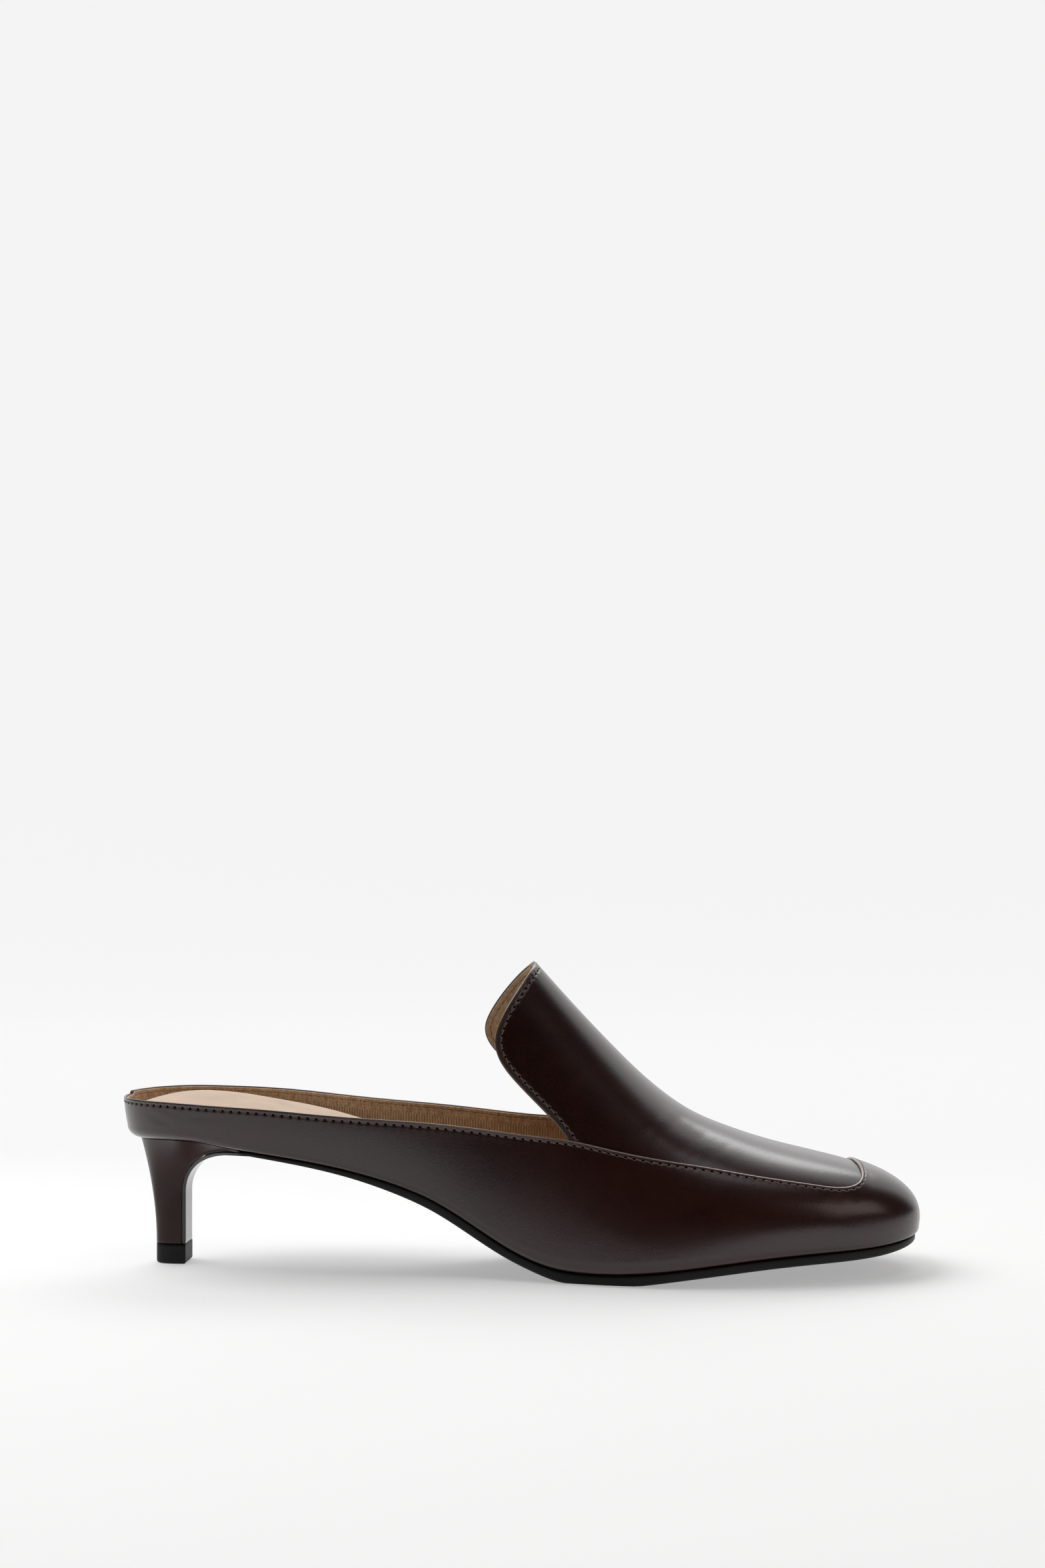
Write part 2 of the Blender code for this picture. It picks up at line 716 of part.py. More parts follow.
def outsole():
    """The outsole, bevelled along its edge, with the flap that runs down the heel's breast."""
    points = []
    for outer, inner in reversed(sections(SOLE_REAR_X)):
        row = []
        for share, bevel in SOLE_EDGE:
            pair = []
            for s in (outer, inner):
                x = OUTLINE_CURVE(s)[0]
                proud = SOLE_PROUD * smooth_step(x, SOLE_PROUD_FROM, SOLE_PROUD_TO)
                plan = outline_point(s, proud - bevel)
                z = seat_height(*plan) - GAP - sole_thickness(plan[0]) * share
                pair.append(np.array([*plan, max(z, SOLE_REST_LIFT * (1.0 - share))]))
            row.append(pair)
        points += [pair[0] for pair in row] + [pair[1] for pair in row[::-1]]
    seat, lift = heel_rings()
    for level in FLAP_LEVELS:
        here = heel_point(seat[0], lift[0], level)
        there = heel_point(seat[-1], lift[-1], level)
        ahead = heel_point(seat[0], lift[0], min(level + LEVEL_STEP, 1.0))
        behind = heel_point(seat[0], lift[0], max(level - LEVEL_STEP, 0.0))
        along = np.array([ahead[0] - behind[0], 0.0, ahead[2] - behind[2]])
        along /= np.linalg.norm(along)
        out = np.array([-along[2], 0.0, along[0]])
        row = []
        for share, bevel in SOLE_EDGE:
            shift = out * (GAP + FLAP_THICKNESS * share)
            trim = np.array([0.0, FLAP_TRIM * bevel, 0.0])
            row.append((here + shift + trim, there + shift - trim))
        points += [pair[0] for pair in row] + [pair[1] for pair in row[::-1]]
    across = 2 * len(SOLE_EDGE)
    rows = len(points) // across
    faces = grid_faces(rows, across, wrap_columns=True)
    faces.append(tuple(range((rows - 1) * across, rows * across)))
    return mesh_object("outsole", points, faces, SOLE_BLACK)


def top_piece():
    """The lift: the heel's small outline, upright, with its lower edge rounded."""
    points = []
    for z, inset in LIFT_LEVELS:
        front = LIFT_FRONT_X - inset
        depth = LIFT_BACK_X + inset - front
        half = LIFT_HALF_WIDTH - inset
        for i in range(LIFT_RING + 1):
            turn = np.pi * i / LIFT_RING
            side = np.copysign(abs(np.cos(turn)) ** LIFT_CORNER, np.cos(turn))
            points.append((front + depth * np.sin(turn) ** LIFT_CORNER, -half * side, z))
    count = LIFT_RING + 1
    rows = len(LIFT_LEVELS)
    faces = grid_faces(rows, count, wrap_columns=True)
    faces.append(tuple(range(count)))
    faces.append(tuple(range(rows * count - 1, (rows - 1) * count - 1, -1)))
    return mesh_object("top_piece", points, faces, LIFT_BLACK)


def stand_centred(objects):
    """Puts the middle of the whole shoe's box over the origin, in the pieces' own meshes."""
    corners = np.array([vertex.co[:] for obj in objects for vertex in obj.data.vertices])
    middle = 0.5 * (corners.min(axis=0) + corners.max(axis=0))
    for obj in objects:
        for vertex in obj.data.vertices:
            vertex.co.x -= middle[0]
            vertex.co.y -= middle[1]


def main():
    for obj in list(bpy.data.objects):
        bpy.data.objects.remove(obj)
    stand_centred([upper(), insole(), outsole(), heel(), top_piece()])


main()
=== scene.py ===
"""Finish of the heeled loafer mule: leather, linings, stitching, padded sock, sole and heel.

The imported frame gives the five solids. Each of them is stood for by finely divided pieces on the same
last: a feather line, a ridge along the top of the foot, and ribs that join the two. Lengths on the last
are in millimetres, with +X to the toe, -Y to the outer side and +Z up.
"""

from contextlib import contextmanager

import bmesh
import bpy
import numpy as np
from bpy.props import FloatProperty, FloatVectorProperty, PointerProperty
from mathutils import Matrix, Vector


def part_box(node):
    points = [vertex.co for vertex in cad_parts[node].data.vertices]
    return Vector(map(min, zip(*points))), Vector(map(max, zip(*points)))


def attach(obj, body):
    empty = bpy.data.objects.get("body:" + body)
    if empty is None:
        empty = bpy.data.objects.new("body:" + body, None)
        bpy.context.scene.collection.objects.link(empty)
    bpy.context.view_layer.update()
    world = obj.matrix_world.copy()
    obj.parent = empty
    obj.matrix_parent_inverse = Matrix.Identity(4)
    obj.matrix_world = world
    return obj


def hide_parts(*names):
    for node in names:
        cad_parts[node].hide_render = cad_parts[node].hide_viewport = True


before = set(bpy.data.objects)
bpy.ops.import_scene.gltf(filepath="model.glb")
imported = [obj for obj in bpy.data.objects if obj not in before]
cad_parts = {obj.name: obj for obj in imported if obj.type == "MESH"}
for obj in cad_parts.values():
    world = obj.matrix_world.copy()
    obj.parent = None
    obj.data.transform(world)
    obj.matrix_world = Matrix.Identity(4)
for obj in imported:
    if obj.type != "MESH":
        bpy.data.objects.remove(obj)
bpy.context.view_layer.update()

bl_info = {
    "name": "Heeled loafer mule",
    "version": (1, 0, 0),
    "blender": (4, 5, 0),
    "location": "View3D > Sidebar > Loafer",
    "description": "Builds the leather, linings, stitching, sock, sole and heel of a heeled loafer mule",
    "category": "Object",
}

MM = 0.001

# ---------------------------------------------------------------------------------------------------
# The last, in millimetres
# ---------------------------------------------------------------------------------------------------

# Feather line in plan, from the back of the heel along the outer side and back: x, y.
OUTLINE = (
    (-121.5, 0.0), (-118.0, -11.0), (-108.0, -18.8), (-95.0, -23.0), (-75.0, -24.8), (-50.0, -24.7),
    (-28.0, -24.8), (-8.0, -27.0), (10.0, -31.0), (28.0, -35.4), (47.0, -37.2), (66.0, -35.2),
    (85.0, -30.4), (102.0, -24.2), (113.8, -17.0), (120.6, -8.0), (122.4, 3.5), (120.6, 14.5),
    (114.8, 23.5), (103.0, 30.8), (84.0, 36.2), (63.0, 38.2), (44.0, 36.2), (27.0, 30.4),
    (10.0, 23.2), (-6.0, 18.6), (-25.0, 17.6), (-50.0, 20.6), (-75.0, 24.0), (-95.0, 23.0),
    (-108.0, 18.8), (-118.0, 11.0),
)

# x, height of the feather line, thickness of the sole under it.
SEAT = (
    (-121.5, 40.3, 1.2), (-110.0, 40.9, 1.2), (-98.0, 40.5, 1.2), (-88.0, 38.9, 1.3),
    (-78.0, 37.3, 1.4), (-65.0, 35.2, 1.7), (-50.0, 31.9, 2.2), (-38.0, 28.3, 2.8),
    (-26.0, 23.4, 3.3), (-15.0, 17.0, 3.5), (-5.0, 10.8, 3.3), (4.0, 6.4, 3.1), (12.0, 4.1, 3.5),
    (20.0, 3.3, 3.7), (32.0, 3.4, 3.6), (46.0, 4.6, 3.1), (60.0, 6.3, 3.0), (75.0, 7.9, 3.0),
    (90.0, 8.9, 3.0), (105.0, 9.6, 2.9), (115.0, 10.5, 2.7), (123.0, 11.7, 2.3),
)

# Top line of the last: x, y, z.
RIDGE = (
    (-122.0, 0.0, 112.0), (-80.0, 0.0, 114.0), (-45.0, 0.0, 125.0), (-22.0, 0.0, 122.5),
    (-8.0, 0.0, 109.6), (4.1, 0.0, 96.8), (16.0, 0.2, 83.6), (28.6, 0.6, 70.2), (37.0, 0.9, 61.9),
    (45.5, 1.3, 54.7), (54.0, 1.7, 49.1), (63.0, 2.1, 45.1), (75.0, 2.7, 40.9), (88.0, 3.2, 37.4),
    (100.0, 3.5, 34.5),
)

# x, exponent of the arch, radius rolled out from the feather, swell of the wall.
FULLNESS = (
    (-121.5, 2.0, 4.0, 2.0), (-105.0, 2.0, 3.2, 2.0), (-60.0, 2.0, 2.8, 1.8), (-35.0, 2.0, 2.8, 1.0),
    (-15.0, 2.0, 3.1, 0.0), (10.0, 2.0, 3.4, -0.5), (40.0, 2.05, 3.4, -0.4), (70.0, 2.35, 3.3, 0.3),
    (95.0, 2.7, 2.8, 0.8), (114.0, 3.1, 2.1, 0.5), (123.0, 3.3, 1.9, 0.4),
)

# Folded edge of the quarter seen from the side: x, z.
EDGE = (
    (-127.0, 53.0), (-111.0, 53.1), (-98.0, 52.6), (-77.0, 51.4), (-60.0, 49.9), (-44.0, 48.7),
    (-28.0, 47.6), (-11.0, 45.9), (4.0, 44.2), (16.0, 43.0), (28.0, 40.6), (41.0, 38.0),
    (57.0, 35.3), (73.0, 32.4), (90.0, 29.6), (105.0, 26.9),
)
# The inner edge's rise over that; where the seam crosses the toe and how askew; the rounding of its two
# corners; and how much a millimetre of height counts against one of length.
EDGE_INNER_RISE = 0.9
EDGE_FRONT_X = 105.0
EDGE_FRONT_Y = 3.5
EDGE_FRONT_SKEW = 0.05
EDGE_CORNER = 14.0
EDGE_LIFT = 2.2

# Free edge of the tongue seen from the side, from under the quarter to above its tip: x, z.
TONGUE = (
    (16.6, 34.0), (10.6, 43.2), (5.8, 49.2), (-0.5, 55.6), (-6.4, 61.9), (-9.9, 67.2),
    (-10.9, 72.4), (-9.4, 77.4), (-5.9, 83.4), (-0.4, 90.4), (5.0, 95.6), (12.0, 101.0),
)
# How far the inner edge stands ahead of the outer, fading out between two heights, and the edge's skew.
TONGUE_INNER_LEAD = 6.5
TONGUE_LEAD_LOW_Z = 52.0
TONGUE_LEAD_HIGH_Z = 76.0
TONGUE_SKEW = np.tan(np.radians(9.0))

# Surface of the padded insole: x, height at its rim, height along its middle.
INSOLE = (
    (-123.0, 50.0, 50.6), (-112.0, 51.2, 53.4), (-100.0, 51.2, 54.0), (-88.0, 49.8, 52.7),
    (-74.0, 47.5, 50.3), (-60.0, 44.7, 47.4), (-45.0, 40.4, 42.6), (-30.0, 34.0, 35.6),
    (-15.0, 26.0, 27.2), (0.0, 18.0, 18.8), (15.0, 12.9, 13.3), (32.0, 11.5, 11.7),
    (60.0, 13.6, 13.7), (90.0, 16.0, 16.1), (121.0, 18.6, 18.6),
)

# The x from which the ribs fan at the heel and at the toe; the inner arch's rise, middle and spread
# along the shoe, and across it the side it rises from and its width; and the scale of the wall's swell.
HEEL_FAN_START = -80.0
TOE_FAN_START = 68.0
ARCH_LIFT = 2.0
ARCH_X = -38.0
ARCH_SPREAD = 26.0
ARCH_OUTER_Y = -25.0
ARCH_WIDTH = 43.0
SWELL_SCALE = 27.0 / 4.0

# Layers of the upper, as depths below the last's surface.
LEATHER = 0.8
PLUG_TOP = 0.85
PLUG_BASE = 1.7
LINING_TOP = 0.86
LINING_BASE = 1.5
TONGUE_LINING_TOP = 1.72
TONGUE_LINING_BASE = 2.3
LASTING_MARGIN = 8.0
GAP = 0.3

# Heel and top piece.
HEEL_FRONT_X = -86.0
HEEL_FRONT_Z = 37.8
HEEL_INSET = 0.3
LIFT_TOP_Z = 6.2
LIFT_BACK_X = -116.4
LIFT_FRONT_X = -106.3
LIFT_HALF_WIDTH = 5.6
LIFT_CORNER = 0.7
LIFT_BEVEL = 0.8
FLAP_THICKNESS = 1.0
# x, share of the height over which the heel's side is drawn in to the lift, and two exponents for it.
HEEL_LAW = (
    (-121.5, 1.0, 1.75, 1.0), (-112.0, 0.95, 3.0, 1.0), (-100.0, 0.75, 2.8, 1.4),
    (-86.0, 0.49, 2.2, 2.2),
)

# Outsole edge: share of the thickness, bevel.
SOLE_EDGE = (
    (0.0, 0.25), (0.07, 0.06), (0.16, 0.0), (0.36, 0.0), (0.6, 0.0), (0.74, 0.12), (0.86, 0.36),
    (0.94, 0.7), (1.0, 1.3),
)
# How far the sole stands out from the feather in front, between which x that comes in, the thickness
# kept where it rests on the ground, and the x of its rear end.
SOLE_PROUD = 0.7
SOLE_PROUD_FROM = -30.0
SOLE_PROUD_TO = 20.0
SOLE_REST_LIFT = 0.6
SOLE_REAR_X = -83.0


class Spline:
    """Natural cubic spline through the rows of a table, straight beyond its two ends."""

    def __init__(self, knots, rows):
        self.knots = np.asarray(knots, float)
        self.rows = np.asarray(rows, float).reshape(len(self.knots), -1)
        step = np.diff(self.knots)
        rise = np.diff(self.rows, axis=0) / step[:, None]
        count = len(self.knots)
        system = np.eye(count)
        target = np.zeros_like(self.rows)
        for i in range(1, count - 1):
            system[i, i - 1 : i + 2] = step[i - 1], 2.0 * (step[i - 1] + step[i]), step[i]
            target[i] = 6.0 * (rise[i] - rise[i - 1])
        self.bend = np.linalg.solve(system, target)

    def __call__(self, at):
        at = np.asarray(at, float)
        inside = np.clip(at, self.knots[0], self.knots[-1])
        i = np.clip(np.searchsorted(self.knots, inside) - 1, 0, len(self.knots) - 2)
        step = self.knots[i + 1] - self.knots[i]
        b = ((inside - self.knots[i]) / step)[..., None]
        a = 1.0 - b
        step = step[..., None]
        value = a * self.rows[i] + b * self.rows[i + 1]
        value = value + ((a**3 - a) * self.bend[i] + (b**3 - b) * self.bend[i + 1]) * step**2 / 6.0
        slope = (self.rows[i + 1] - self.rows[i]) / step
        slope = slope + step / 6.0 * ((3 * b**2 - 1) * self.bend[i + 1] - (3 * a**2 - 1) * self.bend[i])
        return value + slope * (at - inside)[..., None]

    def slope(self, at, reach=0.01):
        """Rise of the spline for each unit, measured over a short reach to both sides."""
        low = np.maximum(at - reach, self.knots[0])
        high = np.minimum(at + reach, self.knots[-1])
        return (self(high) - self(low)) / (high - low)[..., None]


def table(rows):
    """A spline over a table whose first column is the place along the shoe."""
    return Spline([row[0] for row in rows], [row[1:] for row in rows])


def running_length(points):
    """Length along a line of points, from nought at the first."""
    return np.concatenate([[0.0], np.cumsum(np.linalg.norm(np.diff(points, axis=0), axis=1))])


def closed_outline(rows, overlap=4):
    """The feather line as a spline of its length, run on past both ends, and its whole length."""
    points = np.array(rows + rows[:1], float)
    lengths = running_length(points)
    total = lengths[-1]
    knots = np.concatenate([lengths[-overlap - 1 : -1] - total, lengths, lengths[1 : overlap + 1] + total])
    looped = np.concatenate([points[-overlap - 1 : -1], points, points[1 : overlap + 1]])
    return Spline(knots, looped), total


OUTLINE_CURVE, OUTLINE_LENGTH = closed_outline(OUTLINE)
SEAT_CURVE = table(SEAT)
RIDGE_CURVE = table(RIDGE)
FULLNESS_CURVE = table(FULLNESS)
EDGE_CURVE = table(EDGE)
INSOLE_CURVE = table(INSOLE)
HEEL_LAW_CURVE = table(HEEL_LAW)


def bisect(value, low, high, steps=40):
    """Where value, which rises, passes nought between low and high, for arrays of any shape."""
    low = np.array(low, float)
    high = np.array(high, float)
    for _ in range(steps):
        middle = 0.5 * (low + high)
        below = value(middle) < 0.0
        low = np.where(below, middle, low)
        high = np.where(below, high, middle)
    return 0.5 * (low + high)


def unit(vectors):
    """Vectors of length one with the same directions."""
    return vectors / np.linalg.norm(vectors, axis=-1, keepdims=True)


def smooth_step(value, start, end):
    """Rises smoothly from nought at start to one at end."""
    share = np.clip((value - start) / (end - start), 0.0, 1.0)
    return share * share * (3.0 - 2.0 * share)


def bump_at(value, centre, width):
    """A rounded bump of height one."""
    return np.exp(-(((value - centre) / width) ** 2))


def joined(plan, height):
    """Points from their plan and their heights."""
    return np.concatenate([plan, np.broadcast_to(height, plan.shape[:-1])[..., None]], axis=-1)


TOE_LENGTH = float(bisect(lambda s: -OUTLINE_CURVE.slope(s)[..., 0],
                          0.4 * OUTLINE_LENGTH, 0.6 * OUTLINE_LENGTH))
TOE_X = float(OUTLINE_CURVE(TOE_LENGTH)[0])
HEEL_X = float(OUTLINE_CURVE(0.0)[0])


def length_at(x, inner):
    """Length along the feather line where it passes x, on the outer or the inner side."""
    x = np.clip(np.asarray(x, float), HEEL_X, TOE_X)
    low = np.full(x.shape, TOE_LENGTH if inner else 0.0)
    high = np.full(x.shape, OUTLINE_LENGTH if inner else TOE_LENGTH)
    turn = -1.0 if inner else 1.0
    return bisect(lambda s: turn * (OUTLINE_CURVE(s)[..., 0] - x), low, high)


def outline_point(s, offset=0.0):
    """Points of the feather line in plan, moved outwards by offset."""
    plan = OUTLINE_CURVE(s)
    along = unit(OUTLINE_CURVE.slope(s))
    side = np.stack([along[..., 1], -along[..., 0]], axis=-1)
    return plan + side * np.asarray(offset)[..., None]


def seat_height(plan):
    """Height of the last's bottom, which rises to the inner side in the waist."""
    x, y = plan[..., 0], plan[..., 1]
    arch = ARCH_LIFT * np.exp(-(((x - ARCH_X) / ARCH_SPREAD) ** 2))
    return SEAT_CURVE(x)[..., 0] + arch * (y - ARCH_OUTER_Y) / ARCH_WIDTH


def fanned(passed, span):
    """How far a rib's end moves along the ridge while its foot moves: half as far over the whole span."""
    share = np.clip(passed / span, 0.0, 1.0)
    return 0.5 * span * (share + np.sin(np.pi * share) / np.pi)


def ridge_end_x(x):
    """Where on the ridge the rib from x on the feather line ends: ribs fan at heel and toe."""
    toe_x = TOE_FAN_START + fanned(x - TOE_FAN_START, TOE_X - TOE_FAN_START)
    heel_x = HEEL_FAN_START - fanned(HEEL_FAN_START - x, HEEL_FAN_START - HEEL_X)
    return np.where(x > TOE_FAN_START, toe_x, np.where(x < HEEL_FAN_START, heel_x, x))


class Ribs:
    """Ribs of the last that start at lengths s along the feather line, for arrays of any shape."""

    def __init__(self, s):
        self.feather = OUTLINE_CURVE(s)
        self.z = seat_height(self.feather)
        x = self.feather[..., 0]
        self.ridge_x = ridge_end_x(x)
        ridge = RIDGE_CURVE(self.ridge_x)
        self.ridge_z = ridge[..., 1]
        self.ridge_slope = RIDGE_CURVE.slope(self.ridge_x)[..., 1]
        out = self.feather - np.stack([self.ridge_x, ridge[..., 0]], axis=-1)
        self.width = np.linalg.norm(out, axis=-1)
        self.out = out / self.width[..., None]
        fullness = FULLNESS_CURVE(x)
        self.exponent, self.roll, self.swell = (fullness[..., i] for i in range(3))

    def at(self, degrees, depth=0.0):
        """Points on the ribs: -90 is the feather, 0 the top of the roll, 90 the ridge."""
        degrees = np.asarray(degrees, float)
        turn = np.radians(np.clip(degrees, 0.0, 90.0))
        across = np.maximum(np.cos(turn), 0.0) ** (2.0 / self.exponent)
        rise = np.sin(turn) ** (2.0 / self.exponent)
        swell = SWELL_SCALE * self.swell * rise * (1.0 - rise) ** 2
        plan = self.feather + self.out * (-self.width + (self.width + self.roll) * across + swell)[..., None]
        height = self.ridge_z + self.ridge_slope * (plan[..., 0] - self.ridge_x) - self.z - self.roll
        wall = joined(plan, self.z + self.roll + height * rise)
        lean_out = across ** (self.exponent - 1.0) / (self.width + self.roll)
        lean_up = rise ** (self.exponent - 1.0) / height
        size = np.hypot(lean_out, lean_up)
        lean_out, lean_up = lean_out / size, lean_up / size
        normal = joined(self.out * lean_out[..., None], lean_up)
        normal[..., 0] -= self.ridge_slope * lean_up * rise
        wall = wall - unit(normal) * np.asarray(depth)[..., None]
        roll_turn = np.radians(np.minimum(degrees, 0.0) + 90.0)
        out = (self.roll - depth) * np.sin(roll_turn)
        up = self.roll - (self.roll - depth) * np.cos(roll_turn)
        rolled = joined(self.feather + self.out * out[..., None], self.z + up)
        return np.where((degrees < 0.0)[..., None], rolled, wall)

    def solved(self, value):
        """Where on each rib's wall a value of the degrees, which rises, passes nought."""
        shape = self.width.shape
        return bisect(value, np.zeros(shape), np.full(shape, 89.0))

    def degrees_at_height(self, target):
        """Where on each rib the height curve target(x) is reached."""
        def above(degrees):
            point = self.at(degrees)
            return point[..., 2] - target(point[..., 0])

        return self.solved(above)

    def edge_degrees(self):
        """Where the quarter's folded edge, with its rounded front corners, crosses each rib."""
        rise = np.where(self.feather[..., 1] > EDGE_FRONT_Y, EDGE_INNER_RISE, 0.0)

        def inside(degrees):
            x, y, z = np.moveaxis(self.at(degrees), -1, 0)
            above = EDGE_LIFT * (z - EDGE_CURVE(x)[..., 0] - rise)
            behind = EDGE_FRONT_X - EDGE_FRONT_SKEW * (y - EDGE_FRONT_Y) - x
            overlap = np.maximum(EDGE_CORNER - abs(above - behind), 0.0)
            return np.minimum(above, behind) - overlap**2 / (4.0 * EDGE_CORNER)

        return self.solved(inside)


def partner_table(count=3000):
    """Outer and inner lengths of the feather line that stand at the same x, from heel to toe."""
    share = np.linspace(0.0, 1.0, count)
    outer = TOE_LENGTH * (share - 0.5 * np.sin(2.0 * np.pi * share) / (2.0 * np.pi))
    inner = length_at(OUTLINE_CURVE(outer)[..., 0], True)
    inner[0], inner[-1] = OUTLINE_LENGTH, TOE_LENGTH
    return outer, inner


OUTER_LENGTHS, INNER_LENGTHS = partner_table()
EDGE_LENGTHS = np.linspace(0.0, OUTLINE_LENGTH, 3000)
EDGE_ANGLES = Ribs(EDGE_LENGTHS).edge_degrees()


def inner_length(outer):
    """Length along the feather line of the inner point at the same x as an outer one."""
    return np.interp(outer, OUTER_LENGTHS, INNER_LENGTHS)


def edge_angle(s):
    """Degrees at which the quarter's edge crosses the ribs from s, all round the shoe."""
    return np.interp(np.mod(s, OUTLINE_LENGTH), EDGE_LENGTHS, EDGE_ANGLES)


def frame_shift():
    """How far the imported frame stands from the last's own axes, read at the top piece."""
    low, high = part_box("top_piece")
    middle = 0.5 * (LIFT_BACK_X + LIFT_FRONT_X)
    return np.array([0.5 * (low.x + high.x) / MM - middle, 0.5 * (low.y + high.y) / MM])


SHIFT = frame_shift()


def in_frame(points):
    """Points on the last, in millimetres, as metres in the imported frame."""
    return (points + np.array([*SHIFT, 0.0])) * MM


def added(name, data):
    """A new object of the scene for a mesh, a light or a camera."""
    obj = bpy.data.objects.new(name, data)
    bpy.context.scene.collection.objects.link(obj)
    return obj


@contextmanager
def editing(mesh):
    """The mesh opened for editing; what was changed is written back at the end."""
    shape = bmesh.new()
    shape.from_mesh(mesh)
    yield shape
    shape.to_mesh(mesh)
    shape.free()


class Stitching:
    """Stitches spread evenly along a line of points, by their count."""

    def __init__(self, points, pitch):
        lengths = running_length(points)
        self.places = lengths / lengths[-1]
        self.count = int(round(lengths[-1] / pitch))
        self.pitch = lengths[-1] / self.count

    def stations(self, phases):
        """Shares of the line at the given phases of every stitch, in order."""
        return ((np.arange(self.count)[:, None] + np.array(phases)) / self.count).ravel()

    def along(self, share, values):
        """What values, given at the line's points, are at a share of its length."""
        return np.interp(share, self.places, values)


def line_distance(points, line):
    """Distance of flat points from a broken line, and the share of the line's length passed there."""
    line = np.array(line, float)
    lengths = running_length(line)
    best = np.full(points.shape[:-1], 1e9)
    share = np.zeros(points.shape[:-1])
    for i in range(len(line) - 1):
        step = line[i + 1] - line[i]
        t = np.clip(((points - line[i]) @ step) / (step @ step), 0.0, 1.0)
        distance = np.linalg.norm(points - line[i] - t[..., None] * step, axis=-1)
        nearer = distance < best
        best = np.where(nearer, distance, best)
        share = np.where(nearer, (lengths[i] + t * (lengths[i + 1] - lengths[i])) / lengths[-1], share)
    return best, share


def crease_relief(flat, creases):
    """Soft troughs with a low ridge on each side, fading to both ends: line, width, depth."""
    relief = np.zeros(flat.shape[:-1])
    for line, width, depth in creases:
        distance, share = line_distance(flat, line)
        fade = np.sin(np.pi * np.clip(share, 0.02, 0.98)) ** 0.7
        trough = -np.exp(-((distance / width) ** 2)) + 0.45 * bump_at(distance, 1.9 * width, width)
        relief += depth * fade * trough
    return relief


def smooth_noise(points, size, seed):
    """Even, repeatable swelling between -1 and 1, from a few waves whose length is about size."""
    draw = np.random.default_rng(seed)
    total = np.zeros(points.shape[:-1])
    waves = 7
    for _ in range(waves):
        direction = draw.normal(size=3)
        direction *= 2.0 * np.pi / (size * draw.uniform(0.7, 1.4) * np.linalg.norm(direction))
        total += np.sin(points @ direction + draw.uniform(0.0, 2.0 * np.pi))
    return total / waves


def unevenness(points, swells):
    """Several kinds of swelling added up, each with its height, size and seed."""
    return sum(height * smooth_noise(points, size, seed) for height, size, seed in swells)


def grid_object(name, grid, finish, wrap_rows=False, wrap_columns=False, coordinates=None):
    """A mesh object from a grid of points on the last, closed and with its faces turned outwards."""
    rows, columns = grid.shape[:2]
    i = np.arange(rows if wrap_rows else rows - 1)[:, None]
    j = np.arange(columns if wrap_columns else columns - 1)[None, :]
    corners = ((i, j), (i, j + 1), (i + 1, j + 1), (i + 1, j))
    faces = np.stack([(a % rows) * columns + b % columns for a, b in corners], axis=-1).reshape(-1, 4)
    mesh = bpy.data.meshes.new(name)
    mesh.from_pydata(in_frame(grid.reshape(-1, 3)).tolist(), [], faces.tolist())
    if coordinates is not None:
        layer = mesh.uv_layers.new(name="seam")
        values = np.stack([coordinates[a, b] for a, b in corners], axis=-2).reshape(-1, 2)
        layer.data.foreach_set("uv", values.ravel().astype(np.float32))
    return finished_object(name, mesh, finish)


# Points nearer than this are one, and edges shorter than this are none, in metres.
SAME_POINT = 2e-6
NO_EDGE = 1e-6
SHARP_ANGLE = np.radians(50.0)


def finished_object(name, mesh, finish):
    """Merges doubles, turns the faces outwards, smooths the shading and gives the mesh its finish."""
    with editing(mesh) as shape:
        bmesh.ops.remove_doubles(shape, verts=shape.verts, dist=SAME_POINT)
        bmesh.ops.dissolve_degenerate(shape, edges=shape.edges, dist=NO_EDGE)
        bmesh.ops.recalc_face_normals(shape, faces=shape.faces)
    mesh.shade_smooth()
    mesh.set_sharp_from_angle(angle=SHARP_ANGLE)
    mesh.materials.append(finish)
    return added(name, mesh)


# ---------------------------------------------------------------------------------------------------
# Node writing
# ---------------------------------------------------------------------------------------------------


class Socket:
    """A shader value that takes part in sums: each operator adds its Math node."""

    def __init__(self, nodes, socket):
        self.nodes = nodes
        self.socket = socket

    def _math(self, operation, *values):
        return self.nodes.node("ShaderNodeMath", {"operation": operation}, dict(enumerate(values)))

    def __add__(self, other):
        return self._math("ADD", self, other)

    def __radd__(self, other):
        return self._math("ADD", other, self)

    def __sub__(self, other):
        return self._math("SUBTRACT", self, other)

    def __rsub__(self, other):
        return self._math("SUBTRACT", other, self)

    def __mul__(self, other):
        return self._math("MULTIPLY", self, other)

    def __rmul__(self, other):
        return self._math("MULTIPLY", other, self)

    def __abs__(self):
        return self._math("ABSOLUTE", self)

    def most(self, other):
        return self._math("MAXIMUM", self, other)

    def fraction(self):
        return self._math("FRACT", self)

    def sine(self):
        return self._math("SINE", self)

    def between(self, start, end):
        """Rises smoothly from nought at start to one at end."""
        settings = {"interpolation_type": "SMOOTHSTEP"}
        values = {"Value": self, "From Min": start, "From Max": end, "To Min": 0.0, "To Max": 1.0}
        return self.nodes.node("ShaderNodeMapRange", settings, values)


